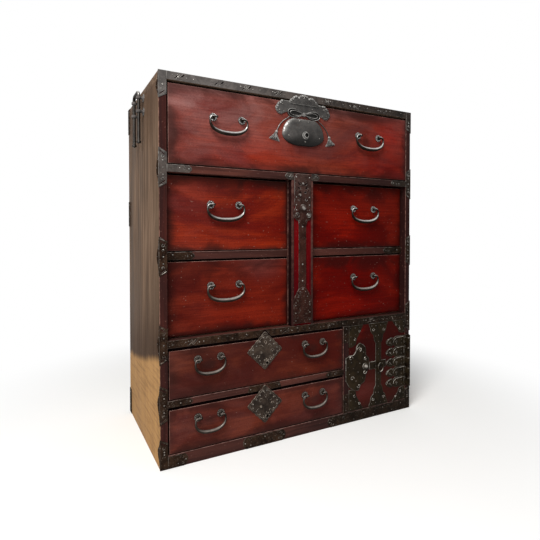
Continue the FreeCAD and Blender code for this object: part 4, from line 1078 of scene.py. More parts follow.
# The lower rail's irons leave a notch for the diamond of the fourth drawer.
notch = DIAMOND_OVERLAP * DIAMOND[0] / DIAMOND[1] + NOTCH_GAP
for x0, sign in ((-inner_x, -1), (inner_x, 1)):
    near_low, near_high = low_centre + sign * (notch + NOTCH_GAP), low_centre + sign * NOTCH_GAP
    joints = [(u, flip) for u, flip in LOW_JOINTS if (u - low_centre) * sign > 0]
    rails.plate([(x0, lower_z[0]), (near_low, lower_z[0]), (near_high, lower_z[1]),
                 (x0, lower_z[1])], band=0.5, holes=joint_slots(lower_z, joints))
    far = low_centre + sign * (notch + 38)
    rails.plate([(far, fourth_z[0]), (near_low, fourth_z[0]), (near_high, fourth_z[1]),
                 (far - sign * 6, fourth_z[1])])
    rails.nail(far - sign * 9, sum(fourth_z) / 2, 1.6)
joint_scrolls(lower_z, LOW_JOINTS)
band_nails(lower_z, -420, 44.0, 20, low_centre, 30, 4)
rail_iron(rails, -inner_x, -inner_x + 70, fourth_z, RIGHT_FREE)
rail_iron(rails, partition_left - 70, partition_left, fourth_z, LEFT_FREE)
for z0, z1 in ((low("fifth_drawer_front").z, DOOR_LOCK_LEVELS[0]),
               (DOOR_LOCK_LEVELS[1], lower_z[0])):
    rails.plate(oblong(partition_left, partition_right, z0, z1))
    for v in (z0 + 9, (z0 + z1) / 2, z1 - 9):
        rails.nail((partition_left + partition_right) / 2 + CHANCE.uniform(-3, 3), v, 1.6)
base_iron(-inner_x, -side_x + 76, RIGHT_FREE)
base_iron(-side_x + 244, -side_x + 387, BOTH_FREE)
base_iron(side_x - 361, inner_x, LEFT_FREE)
rails.finish("rail_iron_plates", "case", IRON, ("rail_irons",), 0.7, "case_nails")


# Carrying bails on the two sides

CARRY_X = side_x + 15.0
LEG, ROD, BEND = 35.0, 5.0, 14.0
COLLAR_LEVELS = (1044.2, 1003.2)
COLLAR_RADIUS = 6.8
# The knob at a leg's end and the leg above it, as (height, radius)
LEG_PROFILE = ((1.2, 3.2), (1.8, 5.4), (3.2, 7.1), (5.2, 7.5), (7.0, 6.9), (8.4, 5.5), (9.6, ROD),
               (30.0, ROD), (60.0, ROD), (100.0, ROD))


def carry_bail(side):
    node = "carry_bail_" + ("left" if side < 0 else "right")
    bottom, top = levels(node)
    leg = [(-LEG, bottom + up, radius) for up, radius in LEG_PROFILE]
    for i in range(9):
        turn = pi / 2 * i / 8
        leg.append((-LEG + BEND * (1 - cos(turn)), top - ROD - BEND + BEND * sin(turn), ROD))
    route = leg + [(-y, z, radius) for y, z, radius in reversed(leg)]
    bm = blank()
    add_tube(bm, [Vector((side * CARRY_X, y, z)) for y, z, _ in route], [r for _, _, r in route],
             16, up=Vector((1, 0, 0)), wear_and_light=lambda spoke: 0.6 * front_highlight_and_wear(spoke))
    piece(node + "_rod", bm, node, BAIL, (node,), 1.0)


bm = blank()
for side in (-1, 1):
    carry_bail(side)
    plane = side_at(side, side_x)
    for y in (-LEG, LEG):
        for z in COLLAR_LEVELS:
            ring = [Vector((u, v, z)) for u, v in circle(side * CARRY_X, y, COLLAR_RADIUS)]
            add_tube(bm, ring, 1.45, 10, True, flat=2.9, up=Vector((0, 0, 1)))
            turns = [(12.0 if i % 4 < 2 else 10.4, 2 * pi * (i + 0.5) / 32) for i in range(32)]
            flower = [(y + r * cos(t), z + r * sin(t)) for r, t in turns]
            add_plate(bm, plane, [flower], 0, 2.0, 0.7)
            add_turned(bm, plane, y, z,
                       ((7.5, 1.5), (6.6, 3.0), (4.6, 4.2), (4.0, 5.6), (4.2, 8.0)), 16)
piece("carrying_collars", bm, "case", IRON, ("bail_collars",), 0.9)


# Purse lock

BAND, CLOUD, PURSE = (196.0, 44.0), (114.0, 30.5), (152.0, 83.0)
BAND_DEPTH, CLOUD_DEPTH = 2.5, 5.5
BAND_RIGHT = ((0.24, 0.30, -0.12), (0.40, 0.02, 0.35), (0.50, 0.25, 0.42), (0.485, 0.60, 0.42),
              (0.435, 0.86, 0.42), (0.36, 1.0, 0))
CLOUD_RIGHT = ((0.45, 0.0, 0.5), (0.37, 0.55, 0.42), (0.17, 0.80, 0.36))
PURSE_RIGHT = ((0.12, 0.0, 0.09), (0.33, 0.07, 0.10), (0.46, 0.22, 0.23), (0.50, 0.42, 0.093),
               (0.455, 0.70, 0.147), (0.33, 0.94, 0.064), (0.25, 1.0, 0))
SCALLOP_INSET, SCALLOP_PITCH = 3.4, 7.6
CORD = 1.4

lock_x = (low("purse_lock").x + high("purse_lock").x) / 2
band_low = high("side_panel_left").z - 6 - BAND[1]
cloud_low = band_low + BAND[1] - 8
purse_low = band_low - 7 - PURSE[1]
knot_z = band_low + 7
lock = Iron(face, BAND_DEPTH)
band = placed(both_halves(BAND_RIGHT), lock_x, band_low, *BAND)
cloud = placed(both_halves(CLOUD_RIGHT), lock_x, cloud_low, *CLOUD)
lock.plate(band, 1.2, 1.0, 0.7)
lock.plate(cloud, 1.3, 1.0, 0.7, base=BAND_DEPTH, rise=CLOUD_DEPTH - BAND_DEPTH)


def scallops(outline, lift, chosen):
    """Small raised lobes along the chosen part of a plate's rim."""
    path = inset(outline, SCALLOP_INSET)
    walked = 0.0
    for (u, v), (far_u, far_v), (out_u, out_v) in zip(path, path[1:], outline):
        walked += hypot(far_u - u, far_v - v)
        if walked > SCALLOP_PITCH and chosen(u, v):
            walked = 0.0
            # Brightest where the rim faces the upper left: a painted highlight over the wear
            rub = 0.08 + 0.75 * lit(out_u - u, out_v - v) / SCALLOP_INSET
            lock.lathe(u, v, [(4.1, lift - 0.3), (3.8, lift + 0.7), (2.8, lift + 1.5),
                              (1.4, lift + 1.9), (0.4, lift + 2.0)], 12,
                       (0, 0.3 * rub, 0.9 * rub, rub, rub))


scallops(arcs(band, 0.05), BAND_DEPTH, lambda u, v: abs(u - lock_x) > 70)
scallops(arcs(cloud, 0.05), CLOUD_DEPTH, lambda u, v: v > cloud_low + 6)
for sign in (-1, 1):
    lock.nail(lock_x + sign * 86, band_low + 13)
    lock.nail(lock_x + sign * 76, band_low + 32)
    lock.nail(lock_x + sign * 44, cloud_low + 8, 1.5, CLOUD_DEPTH)
lock.nail(lock_x + 32, band_low + 27)
lock.nail(lock_x, cloud_low + 22, 1.6, CLOUD_DEPTH)

# The purse swells through a profile of (size, height, rub, darkening). The rub on its upper left is
# a painted highlight over wear, and the darkening of its lower part is painted shade.
purse = arcs(placed(both_halves(PURSE_RIGHT), lock_x, purse_low, *PURSE), 0.08)
PURSE_PROFILE = ((1.0, 0, 0.3, 1), (1.0, 1.6, 0.9, 1), (0.995, 3.0, 1.2, 1), (0.98, 4.6, 1.1, 1),
                 (0.955, 6.2, 0.8, 1), (0.91, 8.0, 0.3, 0.9), (0.83, 9.9, 0.05, 0.8),
                 (0.70, 11.6, 0, 0.7), (0.54, 12.5, 0, 0.6), (0.36, 12.9, 0, 0.5),
                 (0.18, 13.0, 0, 0.4), (0.06, 13.0, 0, 0.4))
leans = [max(0.0, -0.80 * (u - lock_x) / 76 + 0.55 * (v - purse_low - 41) / 41)
         + 1.1 * min(0.0, (v - purse_low - 50) / 46) for u, v in purse]
add_rings(lock.bm, face, [(scaled(purse, size), w) for size, w, _, _ in PURSE_PROFILE],
          [[rub * max(0.0, lean) + darkening * min(0.0, lean) for lean in leans]
           for _, _, rub, darkening in PURSE_PROFILE])
# The keyhole knob, with painted shade in a groove and in its hole
add_turned(lock.bm, face, lock_x + 1, purse_low + PURSE[1] * 0.38,
           ((12.6, 12.0), (12.2, 13.4), (10.6, 14.4), (9.0, 14.6), (8.6, 16.4), (8.2, 18.2),
            (7.4, 19.0), (6.4, 18.8), (5.9, 17.4), (5.7, 12.5)), 24,
           (0, 0.3, 0.5, -0.3, 0.3, 1.0, 0.7, 0.1, -1, -1))
for du, dv, seat in ((-20, 74, 10.2), (12, 74, 10.2), (-58, 27, 9.8), (53, 27, 9.8), (0, 12, 11.0)):
    lock.nail(lock_x + du, purse_low + dv, 2.4, seat)


def bow_loop(sign, grow, tilt, w):
    """A cord loop of the bow: pointed at the knot and round at its outer end."""
    points = []
    for i in range(40):
        t = 2 * pi * (i + 0.5) / 40
        share = (1 - cos(t)) / 2
        across = sin(t) * sin(t / 2) ** 0.8
        points.append(face(lock_x + sign * (4 + (54 - grow) * share),
                           knot_z + tilt * share + (16.0 - grow * 0.9) * across,
                           w + 1.2 * share) / MM)
    return points


# A tassel's rings as (distance down, radius, depth)
TASSEL = ((0, 3.6, 3.0), (3, 4.6, 4.2), (7, 5.6, 4.8), (12, 8.4, 5.4), (17, 12.2, 6.0),
          (21, 15.2, 6.4), (23.6, 16.6, 5.6), (24.4, 15.6, 2.2))


def tassel(sign, x, z):
    """A fluted tassel that leans outwards and whose hem rises in the middle."""
    lean = sign * math.radians(12)
    rings = []
    for down, radius, depth in TASSEL:
        ring = []
        for i in range(33):
            t = pi * i / 32
            flute = 1 + 0.13 * cos(16 * t) * min(1, down / 10)
            u = radius * flute * cos(t)
            fall = down - 3.0 * (1 - abs(cos(t))) * down / 24
            ring.append(face(x + u * cos(lean) + fall * sin(lean),
                             z + u * sin(lean) - fall * cos(lean), depth * flute * sin(t)))
        rings.append(add_points(lock.bm, ring, [0.02 + 0.6 * (i % 4 == 0) for i in range(33)]))
    bridge(lock.bm, rings)
    lock.bm.faces.new(rings[0])
    lock.bm.faces.new(rings[-1])


for sign, tilt in ((-1, 2.0), (1, -1.0)):
    for grow, w in ((0.0, 4.3), (8.0, 4.0)):
        add_tube(lock.bm, bow_loop(sign, grow, tilt, w), CORD, 10, True, wear_and_light=front_highlight_and_wear)
    # A ground plate inside each loop, darkened as painted shade
    ground = [(point.x, point.z) for point in bow_loop(sign, 0.0, tilt, 0)]
    add_rings(lock.bm, face, [(ground, 0.2), (ground, 2.8)], (-1, -1))
    start_z = knot_z - 15.5
    end_z = start_z - 44.5
    cord = [(lock_x + sign * 47, knot_z - 8), (lock_x + sign * 53, knot_z - 11)] \
        + arcs([(lock_x + sign * 57, start_z, sign * -0.2), (lock_x + sign * 96, end_z)], 0.08)
    heights = [4.0, 3.0] + [1.8] * (len(cord) - 2)
    add_tube(lock.bm, [face(u, v, w) / MM for (u, v), w in zip(cord, heights)], CORD, 10,
             wear_and_light=front_highlight_and_wear)
    lock.lathe(lock_x + sign * 97, end_z - 1.5,
               [(4.0, 0.4), (4.6, 2.4), (4.1, 4.6), (2.6, 6.2), (0.8, 6.8)], 14,
               (0.4, 0.8, 1, 1, 1))
    tassel(sign, lock_x + sign * 98, end_z - 3)
lock.lathe(lock_x, knot_z, [(6.4, 0), (7.0, 3.6), (6.4, 6.2), (4.4, 7.8), (1.8, 8.4)], 16,
           (0, 0.1, 0.3, 0.5, 0.5))
for up in (-1, 1):
    lock.ridge([(lock_x - 6.2, knot_z + up * 3.0), (lock_x, knot_z + up * 4.0),
                (lock_x + 6.2, knot_z + up * 3.0)], 1.5, 0.5, level=6.4)
lock.finish("purse_lock_plates", "top_drawer", LOCK, ("purse_lock",), nails="purse_lock_nails")


# Diamond lock plates on the two lowest drawers

def diamond(drawer):
    """A diamond with lobed edges, a line inside them, nails, a stud, a keyhole boss and curls."""
    top = high(drawer + "_fittings").z
    x, z = low_centre, top - DIAMOND[1]
    tips = ((x + DIAMOND[0], z), (x, top), (x - DIAMOND[0], z), (x, z - DIAMOND[1]))
    edges = list(zip(tips, tips[1:] + tips[:1]))
    iron = Iron(face, 2.5)
    outline = [(ax + (bx - ax) * k / 5, az + (bz - az) * k / 5, 0.2)
               for (ax, az), (bx, bz) in edges for k in range(5)]
    iron.plate(outline, 0.8)
    iron.ridge(scaled(arcs(outline), 0.87), 0.55, closed=True)
    for (ax, az), (bx, bz) in edges:
        for k in range(4):
            iron.nail(x + (ax + (bx - ax) * (k + 0.5) / 4 - x) * 0.80,
                      z + (az + (bz - az) * (k + 0.5) / 4 - z) * 0.80, 2.1)
    for u, v, radius, start, turns in (
            (-15, 12, 8, 0, 0.9), (16, 12, 8, pi, -0.9), (24, -2, 6, 0, 1.0),
            (-22, -16, 6, pi, -1.0), (0, 26, 6, -pi / 2, 1.0), (18, -20, 6, 0, -1.0)):
        iron.curl(x + u, z + v, radius, start, turns)
    for u, v in circle(x, z + 38, 3.6, 6):
        iron.lathe(u, v, [(2.1, 2.4), (1.8, 3.4), (0.9, 4.0)], 8, (0, 0.5, 1))
    iron.lathe(x - 14, z - 5, [(5.2, 2.4), (5.0, 3.6), (4.0, 5.4), (2.2, 6.4), (0.6, 6.6)], 16,
               (0, 0.2, 0.5, 0.8, 0.8))
    # The keyhole boss, with painted shade in its hole
    add_turned(iron.bm, face, x + 4, z - 35,
               ((10.0, 2.4), (9.6, 3.8), (7.6, 5.0), (6.8, 8.2), (6.0, 9.4), (4.6, 9.5), (4.2, 8.0),
                (4.0, 4.0)), wear_and_light=(0, 0.4, 0.3, 0.5, 1, 1, -0.5, -1))
    for u, v in circle(x + 4, z - 35, 10.4, 8):
        iron.lathe(u, v, [(2.0, 2.4), (1.7, 3.4), (0.8, 4.0)], 8, (0, 0.5, 1))
    iron.finish(drawer + "_diamond", drawer, DIAMOND_IRON, (drawer + "_fittings",),
                nails=drawer + "_diamond_nails")


diamond("fourth_drawer")
diamond("fifth_drawer")


# Locking bar

FOOT = (66.0, 118.0)
PLATE_DEPTH = 2.0
PANEL_SINK = 2.0
BAR_EDGE = 9.0
BAR_SHADE = 8.0
STRAP_HALF_WIDTH = 13.5
RING_BOSS_RADIUS = 8.2
HEAD_RIGHT = ((0.10, 0.0, 0.2), (0.26, 0.03, -0.25), (0.30, 0.10, 0.35), (0.46, 0.13, 0.35),
              (0.52, 0.22, 0.35), (0.49, 0.31, -0.2), (0.45, 0.36, 0.3), (0.50, 0.43, 0),
              (0.50, 0.93, 0), (0.36, 1.0, 0))
FOOT_RIGHT = ((0.50, 0.0, 0), (0.50, 0.56, 0.3), (0.44, 0.68, 0.3), (0.36, 0.78, 0.3),
              (0.27, 0.87, 0.3), (0.15, 0.94, 0.3))
PIERCINGS = (((4, -34), (10, -30), (19, -24), (17, -31), (10, -36)),
             ((7, -48), (12, -41), (20, -40), (16, -46)),
             ((3, -58), (9, -53), (15, -56), (10, -60)),
             ((18, -52), (23, -47), (24, -54)))

bar_lo, bar_hi = low("lock_bar"), high("lock_bar")
inner_left, inner_right = bar_left + BAR_EDGE, bar_right - BAR_EDGE
section = []
for x, inner, sign in ((bar_lo.x, inner_left, 1), (bar_hi.x, inner_right, -1)):
    half = [(x, bar_hi.y - 0.6), (x, bar_lo.y + BAR_SHADE), (x, bar_lo.y + 1.6),
            (x + sign * 0.6, bar_lo.y + 0.5), (x + sign * 1.8, bar_lo.y),
            (inner - sign * 1.4, bar_lo.y), (inner - sign * 0.5, bar_lo.y + 0.4),
            (inner, bar_lo.y + PANEL_SINK)]
    section += half[::sign]
bm = blank()
add_plate(bm, upright_at(), [section], bar_lo.z, bar_hi.z, 0.5)
bar = piece("bar_board", bm, "locking_bar", BAR, ("lock_bar",), 0.5)
repaint(bar, POST,
        lambda f: abs(f.center.x / MM - bar_middle) > (inner_right - inner_left) / 2 + 0.6)
# The rear of the bar's sides is near-black painted shade
repaint(bar, SHADE_BLACK, lambda f: abs(f.normal.x) > 0.6 and f.center.y / MM > bar_lo.y + 4)

head_top = low("upper_rail").z + 18.5
head_low = head_top - HEAD[1]
foot_low = high("lower_rail").z + 6
strap_low, strap_high = foot_low + 11.8, head_low + 16
bar_irons = Iron(face, PLATE_DEPTH)
add_block(bar_irons.bm, (bar_middle - STRAP_HALF_WIDTH, face_y, strap_low),
          (bar_middle + STRAP_HALF_WIDTH, face_y + PANEL_SINK + 0.1, strap_high), 0.4)
bar_irons.plate(placed(both_halves(HEAD_RIGHT), bar_middle, head_low, *HEAD), 0.4, band=0.3,
                holes=[[(bar_middle + sign * u, head_top + v) for u, v in piercing]
                       for sign in (-1, 1) for piercing in PIERCINGS])
bar_irons.plate(placed(both_halves(FOOT_RIGHT), bar_middle, foot_low, *FOOT), 0.6)
# A near-black ground behind the head's piercings: painted shade
ground = blank()
add_block(ground, (bar_middle - 26, face_y - 0.3, head_top - 66),
          (bar_middle + 26, face_y + 0.2, head_top - 20), 0.1)
piece("bar_head_ground", ground, "locking_bar", SHADE_BLACK)

for sign in (-1, 1):
    add_turned(bar_irons.bm, face, bar_middle + sign * 21, head_top - 128,
               [(RING_BOSS_RADIUS * r, PLATE_DEPTH + RING_BOSS_RADIUS * w) for r, w in
                ((1.0, -0.1), (0.98, 0.22), (0.86, 0.36), (0.72, 0.30), (0.66, 0.1), (0.52, 0.08),
                 (0.46, 0.3), (0.3, 0.42), (0.1, 0.46))], 22, (0, 0.7, 1, 0.6, 0, 0, 0.7, 1, 1))
bar_irons.lathe(bar_middle, head_top - 105,
                [(11.4, 1.9), (11.0, 3.4), (9.2, 4.4), (8.8, 6.0), (8.4, 8.6), (7.0, 10.8),
                 (4.4, 11.8), (1.4, 12.0)], 24, (0, 0.5, 0.6, 0, 0.2, 0.9, 1, 1))
bar_irons.lathe(bar_middle - 13, head_top - 66,
                [(5.4, 1.9), (5.0, 4.0), (4.2, 6.6), (2.6, 7.8), (0.8, 8.0)], 16,
                (0, 0.3, 0.8, 1, 1))
bar_irons.lathe(bar_middle, head_top - 30, [(4.4, 1.9), (4.0, 3.8), (2.6, 5.0), (0.8, 5.4)], 14,
                (0, 0.5, 1, 1))
for sign in (-1, 1):
    bar_irons.curl(bar_middle + sign * 14, head_top - 80, 6, pi / 2, sign * 0.9, 0.75)
    bar_irons.curl(bar_middle + sign * 12, head_top - 146, 5, -pi / 2, sign * 0.8)
    bar_irons.curl(bar_middle + sign * 11, foot_low + 92, 6, pi, -sign * 0.9, 0.75)
    for up in (10, 34, 58):
        bar_irons.nail(bar_middle + sign * 26, foot_low + up)
    for up in (66, 84, 100):
        bar_irons.nail(bar_middle + sign * (28 - (up - 60) * 0.45), foot_low + up, 1.6)
    for down in (10, 72, 96, 112):
        bar_irons.nail(bar_middle + sign * 24, head_top - down, 1.7)
bar_irons.nail(bar_middle, foot_low + 108)
for z in (strap_high - 20, (strap_low + strap_high) / 2 + 18, strap_low + 122):
    bar_irons.nail(bar_middle, z, 2.3, 0.0)
bar_irons.finish("bar_plates", "locking_bar", BAR_IRON, ("lock_bar_irons",), nails="bar_nails")


# Safe door

KNUCKLE = 6.5
KNUCKLE_HALF = 10.0
KNUCKLE_GAP = 0.4
STRAPS = 5
STRAP_REACH = 91.0
STRAP_DEPTH = 2.0
STRAP_END = 435.0
DOOR_LOCK = (103.0, 161.0)
DOOR_LOCK_DEPTH = 3.0
CORNER_WIDTH = 60.0
CROSS_STRAP_LEVELS = (167, 193)
STAPLE_RADIUS = 4.1
# The arm from a strap to its knuckle, seen from above
LEAD = ((429.0, -217.8), (429.0, -219.7), (432.5, -220.3), (435.2, -222.6), (436.4, -226.5),
        (438.2, -230.4), (442.5, -232.6), (442.5, -228.0), (439.0, -225.0), (437.5, -221.0),
        (434.5, -218.4))
STRAP_UPPER = ((1.0, 0.5, 0), (0.58, 0.5, 0.2), (0.42, 0.40, 0.1), (0.345, 0.24, 0),
               (0.35, 0.40, 0.25), (0.18, 0.37, 0.2), (0.0, 0.05, 0))
LOCK_SHARES = ((0.03, 0.24, 0), (0.17, 0.10, 0), (0.36, 0.02, 0.15), (0.56, 0.0, 0.15),
               (0.62, 0.10, 0), (0.80, 0.16, 0.15), (0.86, 0.30, 0), (1.0, 0.44, 0),
               (1.0, 0.64, 0), (0.86, 0.74, 0.15), (0.84, 0.90, 0.15), (0.60, 1.0, 0.15),
               (0.47, 0.92, -0.25), (0.34, 0.76, 0), (0.20, 0.76, 0), (0.03, 0.72, 0))
CORNER_SHARES = ((0.0, 0.0, 0), (1.0, 0.0, 0.2), (0.90, 0.16, 0.2), (0.82, 0.30, 0.2),
                 (0.70, 0.42, 0.2), (0.62, 0.55, -0.15), (0.50, 0.86, 0.2), (0.34, 0.95, 0.2),
                 (0.16, 1.0, 0), (0.0, 1.0, 0))
# A quarter of the centre strap, from the middle of the door's edge to the strap's waist
CENTRE_QUARTER = ((43, 0, 0.15), (36, 16, 0.15), (33, 30, 0.2), (24, 40, -0.1), (20, 54, 0.2),
                  (12.5, 70, 0))

door_lo, door_hi = low("door_panel"), high("door_panel")
front_board("door_panel", "safe_door",
            (0.05, 0.0, lambda across, up: 0.9 * min(1, max(0, 4 * up - 1.6))), (0.0, 0.0, 0.0),
            ((245, 258, 60, -0.8), (245, 205, 75, -1.0), (355, 275, 80, -1.0),
             (350, 190, 80, -0.8), (240, 100, 60, 0.06)),
            0.6, 0.6, tones=((226, 306, 26, 0.9), (240, 95, 60, 0.26)), rub=0.2, back=POST)
hinge_x, hinge_y = 442.5, -226.0
pin_at = upright_at(hinge_x, hinge_y)
hinge_low, hinge_high = levels("case_hinge_leaf")
pitch = (hinge_high - hinge_low) / STRAPS
half = pitch / 2 - 0.3
tip = door_hi.x - STRAP_REACH
lock_left, lock_low = low("door_lock_plate").x - 3.1, low("door_lock_plate").z


def knuckle(bm, z0, z1, near, far):
    """A rolled knuckle round the pin, with softened ends and the block where its leaf closes."""
    add_turned(bm, pin_at, 0, 0, ((5.6, z0), (6.3, z0 + 0.3), (KNUCKLE, z0 + 1.0),
                                  (KNUCKLE, z1 - 1.0), (6.3, z1 - 0.3), (5.6, z1)), 24)
    add_block(bm, (*near, z0), (*far, z1), 0.3)


straps = Iron(front, STRAP_DEPTH)
for i in range(STRAPS):
    centre = hinge_low + (i + 0.5) * pitch
    add_rings(straps.bm, upright_at(), [(LEAD, centre - 9.8), (LEAD, centre + 9.8)])
    upper = placed(STRAP_UPPER, tip, centre, STRAP_END - tip, 2 * half)
    straps.plate(upper + flipped(upper, z_about=centre), 0.7, 0.25)
    for shift in (4, 35):
        crest = [(tip + shift + 26 * (1 - cos(t)) * 0.9, centre - 4 + (half + 1) * sin(t) * 0.92)
                 for t in [pi / 2 * k / 8 for k in range(9)]]
        if shift == 35:
            crest.append((STRAP_END - 1, crest[-1][1] + 0.6))
        straps.ridge(crest, 0.75, 1)
        straps.curl(tip + shift + 15, centre - 3, 5.0, pi, -0.95, 0.7, 0.4)
    for u, v in ((25, -7), (50, -9), (74, 4), (74, -9)):
        straps.nail(tip + u, centre + v, 1.2)
    add_tube(straps.bm, [Vector((hinge_x - 6.6 * cos(t), hinge_y - 6.6 * sin(t), centre + 9.0))
                         for t in (0.5, 0.9, 1.3, 1.7, 2.1, 2.5)], 0.75, 6, wear_and_light=1)
    knuckle(straps.bm, centre - KNUCKLE_HALF, centre + KNUCKLE_HALF,
            (hinge_x - 17, hinge_y + 4.0), (hinge_x, hinge_y + KNUCKLE))
case_bm = blank()
for i in range(STRAPS + 1):
    z0 = hinge_low if i == 0 else hinge_low + (i - 0.5) * pitch + KNUCKLE_HALF + KNUCKLE_GAP
    z1 = hinge_high if i == STRAPS else hinge_low + (i + 0.5) * pitch - KNUCKLE_HALF - KNUCKLE_GAP
    knuckle(case_bm, z0, z1, (hinge_x - 3.25, hinge_y + 2), (hinge_x + 3.25, front_y - 1))
add_block(case_bm, (inner_x + 1.5, front_y - 1.5, hinge_low), (side_x, front_y, hinge_high), 0.4)
straps.finish("strap_hinges", "safe_door", DOOR_IRON, ("door_hinge_straps",))
piece("post_hinge_leaf", case_bm, "case", IRON, ("case_hinge_leaf",), 0.6)
pin_bm = blank()
pin_low, pin_high = levels("hinge_pin")
add_turned(pin_bm, pin_at, 0, 0,
           ((1.2, pin_low), (3.0, pin_low + 0.5), (3.0, pin_low + 2.0), (2.2, pin_low + 2.6),
            (2.2, pin_high - 2.6), (3.4, pin_high - 2.2), (3.6, pin_high - 1.2),
            (2.4, pin_high - 0.2), (0.8, pin_high)), 16)
piece("hinge_pin_rod", pin_bm, "case", BAIL, ("hinge_pin",), 1.0)

door_lock = Iron(front, DOOR_LOCK_DEPTH, nails=straps.nails)
door_lock.plate(placed(LOCK_SHARES, lock_left, lock_low, *DOOR_LOCK), 0.9, 0.7)
for u, v, radius, start, turns in (
        (62, 136, 13, pi, -0.7), (66, 138, 6, pi, -0.8), (24, 112, 9, 0, 0.8),
        (84, 60, 8, 0, -0.9), (58, 16, 8, pi, 0.9), (30, 44, 8, 0, 0.9), (86, 104, 6, pi / 2, 0.9)):
    door_lock.curl(lock_left + u, lock_low + v, radius, start, turns, 0.85, 1)
door_lock.lathe(lock_left + 85, lock_low + 79,
                [(11.4, 2.9), (11.1, 4.0), (9.6, 4.9), (8.6, 4.4), (8.0, 4.6), (7.6, 6.4),
                 (7.1, 9.0), (5.9, 11.2), (3.6, 12.4), (1.0, 12.7)], 22,
                (0, 0.6, 0.7, 0, 0, 0.2, 0.5, 0.5, 0.8, 1))
for u, v, radius in ((55, 63, 3.4), (26, 99, 3.0), (54, 13, 3.2), (62, 92, 2.6), (90, 98, 2.4),
                     (18, 60, 2.4), (34, 78, 2.2), (46, 34, 2.4), (74, 40, 2.4), (78, 128, 2.2),
                     (60, 150, 2.0), (12, 84, 2.2)):
    door_lock.nail(lock_left + u, lock_low + v, radius * 0.55)
door_lock.finish("door_lock_iron", "safe_door", DOOR_IRON, ("door_lock_plate",))

door_irons = Iron(front, IRON_DEPTH, nails=straps.nails)
middle = (door_lo + door_hi) / 2
for height, edge_x, inward in ((72.0, door_lo.x, 1), (47.0, door_hi.x, -1)):
    shape = placed(CORNER_SHARES, door_lo.x, door_lo.z, CORNER_WIDTH, height)
    if inward < 0:
        shape = flipped(shape, x_about=middle.x)
    for outline in (shape, flipped(shape, z_about=middle.z)):
        door_irons.plate(outline, 0.5, 0.25)
    for edge_z, up in ((door_lo.z, 1), (door_hi.z, -1)):
        for u, v in ((7, 7), (26, 8), (45, 8), (8, height * 0.5), (9, height * 0.84),
                     (28, height * 0.42)):
            door_irons.nail(edge_x + inward * u, edge_z + up * v, 1.1)
        door_irons.curl(edge_x + inward * 24, edge_z + up * height * 0.66, 5.5, pi / 2,
                        inward * up * 0.9)
        door_irons.curl(edge_x + inward * 44, edge_z + up * height * 0.3, 5.0, 0,
                        -inward * up * 0.9)
strap_x = partition_right + 131
low_right, high_right, high_left, low_left = (
    placed(CENTRE_QUARTER, strap_x, edge_z, across, up)
    for across, edge_z, up in ((1, door_lo.z, 1), (1, door_hi.z, -1), (-1, door_hi.z, -1),
                               (-1, door_lo.z, 1)))
door_irons.plate(low_right + flipped(high_right) + high_left + flipped(low_left), 0.5, 0.4)
door_irons.plate(oblong(lock_left + 106, tip, *CROSS_STRAP_LEVELS), rise=IRON_DEPTH - 0.1)
for edge_z, up in ((door_lo.z, 1), (door_hi.z, -1)):
    for u, v in ((-30, 9), (-12, 10), (10, 9), (30, 9), (-20, 26), (18, 28), (0, 44), (0, 66),
                 (-13, 46)):
        door_irons.nail(strap_x + u, edge_z + up * v, 1.2)
    for sign in (-1, 1):
        door_irons.curl(strap_x + sign * 24, edge_z + up * 24, 6, 0, sign * up * 0.9, 0.75)
for z in (128, 150, 215, 235):
    door_irons.nail(strap_x, z, 1.2)
ring_top = pivot["door_ring"]
staple = [Vector((ring_top.x, front_y - 1.0, ring_top.z - STAPLE_RADIUS))]
for i in range(9):
    turn = -pi / 2 - pi * i / 8
    staple.append(ring_top + Vector((0, STAPLE_RADIUS * cos(turn) - 0.6,
                                     STAPLE_RADIUS * sin(turn))))
staple.append(Vector((ring_top.x, front_y - 1.0, ring_top.z + STAPLE_RADIUS)))
add_tube(door_irons.bm, staple, 1.15, 10, flat=1.7, up=Vector((1, 0, 0)))
door_irons.lathe(ring_top.x, ring_top.z, [(9.5, 1.4), (9.2, 2.4), (7.6, 2.9)], 16)
door_irons.finish("door_iron_plates", "safe_door", DOOR_IRON, ("door_irons",), nails="door_nails")

ring_bm = blank()
ring = [ring_top + Vector((11.0 * sin(t), 0, 15.5 * (cos(t) - 1)))
        for t in [2 * pi * i / 36 for i in range(36)]]
add_tube(ring_bm, ring, 2.2, 12, True, wear_and_light=front_highlight_and_wear)
piece("door_ring_rod", ring_bm, "door_ring", DOOR_IRON, ("door_ring",), 1.0)


# Floor, light and camera

PHOTO_WIDTH = 540
FOCAL_LENGTH = 425.89
SENSOR = 36.0
CAMERA_PLACE = (-729.6, -1345.6, 641.6)

scene = bpy.context.scene
scene.view_settings.view_transform = "Standard"
camera_data = bpy.data.cameras.new("camera")
camera = bpy.data.objects.new("camera", camera_data)
scene.collection.objects.link(camera)
camera_data.sensor_fit = "HORIZONTAL"
camera_data.sensor_width = SENSOR
camera_data.lens = SENSOR * FOCAL_LENGTH / PHOTO_WIDTH
camera_data.shift_x = 0.0158
camera_data.shift_y = -0.0555
camera_data.clip_end = 100.0
yaw, pitch_up, roll = (math.radians(angle) for angle in (-27.211, -1.107, -0.040))
camera.matrix_world = (Matrix.Translation(Vector(CAMERA_PLACE) * MM)
                       @ Matrix.Rotation(yaw, 4, "Z")
                       @ Matrix.Rotation(pi / 2 + pitch_up, 4, "X")
                       @ Matrix.Rotation(roll, 4, "Z"))
scene.camera = camera


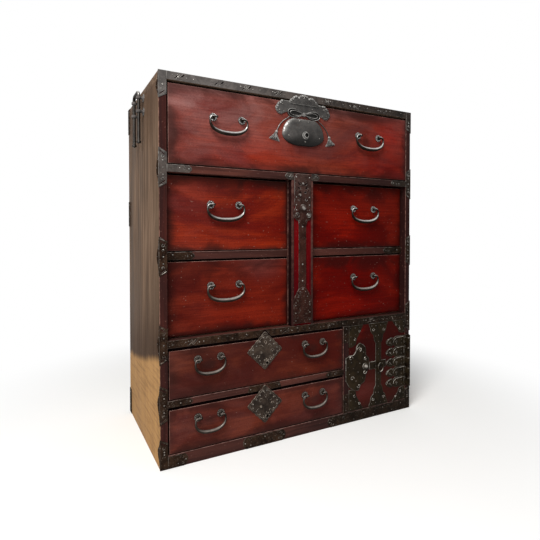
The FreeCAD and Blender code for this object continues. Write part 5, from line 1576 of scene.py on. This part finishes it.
def white_for_views(nodes, plain, white):
    """Picks white for what the camera, gloss and glass see, and the plain shader for light."""
    rays = nodes.new("LightPath").outputs
    seen = nodes.math("ADD", nodes.add(rays["Is Camera Ray"], rays["Is Glossy Ray"]),
                      rays["Is Transmission Ray"], True)
    return nodes.new("MixShader", seen, plain, white).outputs[0]


world = bpy.data.worlds.new("world")
scene.world = world
world.use_nodes = True
sky = Nodes(world.node_tree)
plain = sky.tree.nodes["Background"]
plain.inputs["Color"].default_value = (0.95, 0.97, 1.0, 1.0)
plain.inputs["Strength"].default_value = 0.36
white = sky.new("Background", (1.0, 1.0, 1.0, 1.0), 1.0)
sky.put(white_for_views(sky, plain.outputs[0], white.outputs[0]),
        sky.tree.nodes["World Output"].inputs["Surface"])

floor_bm = bmesh.new()
bmesh.ops.create_grid(floor_bm, x_segments=24, y_segments=24, size=9.0)
floor_mesh = bpy.data.meshes.new("floor")
floor_bm.to_mesh(floor_mesh)
floor_bm.free()
floor = bpy.data.objects.new("floor", floor_mesh)
scene.collection.objects.link(floor)

# The floor turns to plain white away from the chest, and is white to every view of it.
f = Finish("floor_finish", 0.1)
f.set("Roughness", 0.8)
f.set("Base Color", f.mix(f.noise(EVEN, 1.4), (0.86, 0.86, 0.85), (0.90, 0.90, 0.89)))
x, y, _ = f.xyz()
away = f.math("SQRT", f.add(f.times(x, x), f.times(y, y)))
near = f.shader.outputs[0]
far = f.new("MixShader", f.span(away, 0.6, 1.3), near, f.new("Emission").outputs[0])
f.put(white_for_views(f, near, far.outputs[0]), f.tree.nodes["Material Output"].inputs["Surface"])
floor_mesh.materials.append(f.material)


def lamp(name, place, target, size, power, colour):
    data = bpy.data.lights.new(name, "AREA")
    data.shape = "RECTANGLE"
    data.size = data.size_y = size
    data.energy = power
    data.color = colour
    thing = bpy.data.objects.new(name, data)
    scene.collection.objects.link(thing)
    thing.location = place
    thing.rotation_euler = (Vector(target) - Vector(place)).to_track_quat("-Z", "Y").to_euler()


lamp("key", (-1.7, -1.9, 3.3), (0, 0, 0.6), 1.6, 165.0, (1.0, 0.985, 0.96))
lamp("fill", (-2.6, -1.6, 0.9), (-0.3, 0, 0.5), 1.2, 14.0, (0.97, 0.985, 1.0))
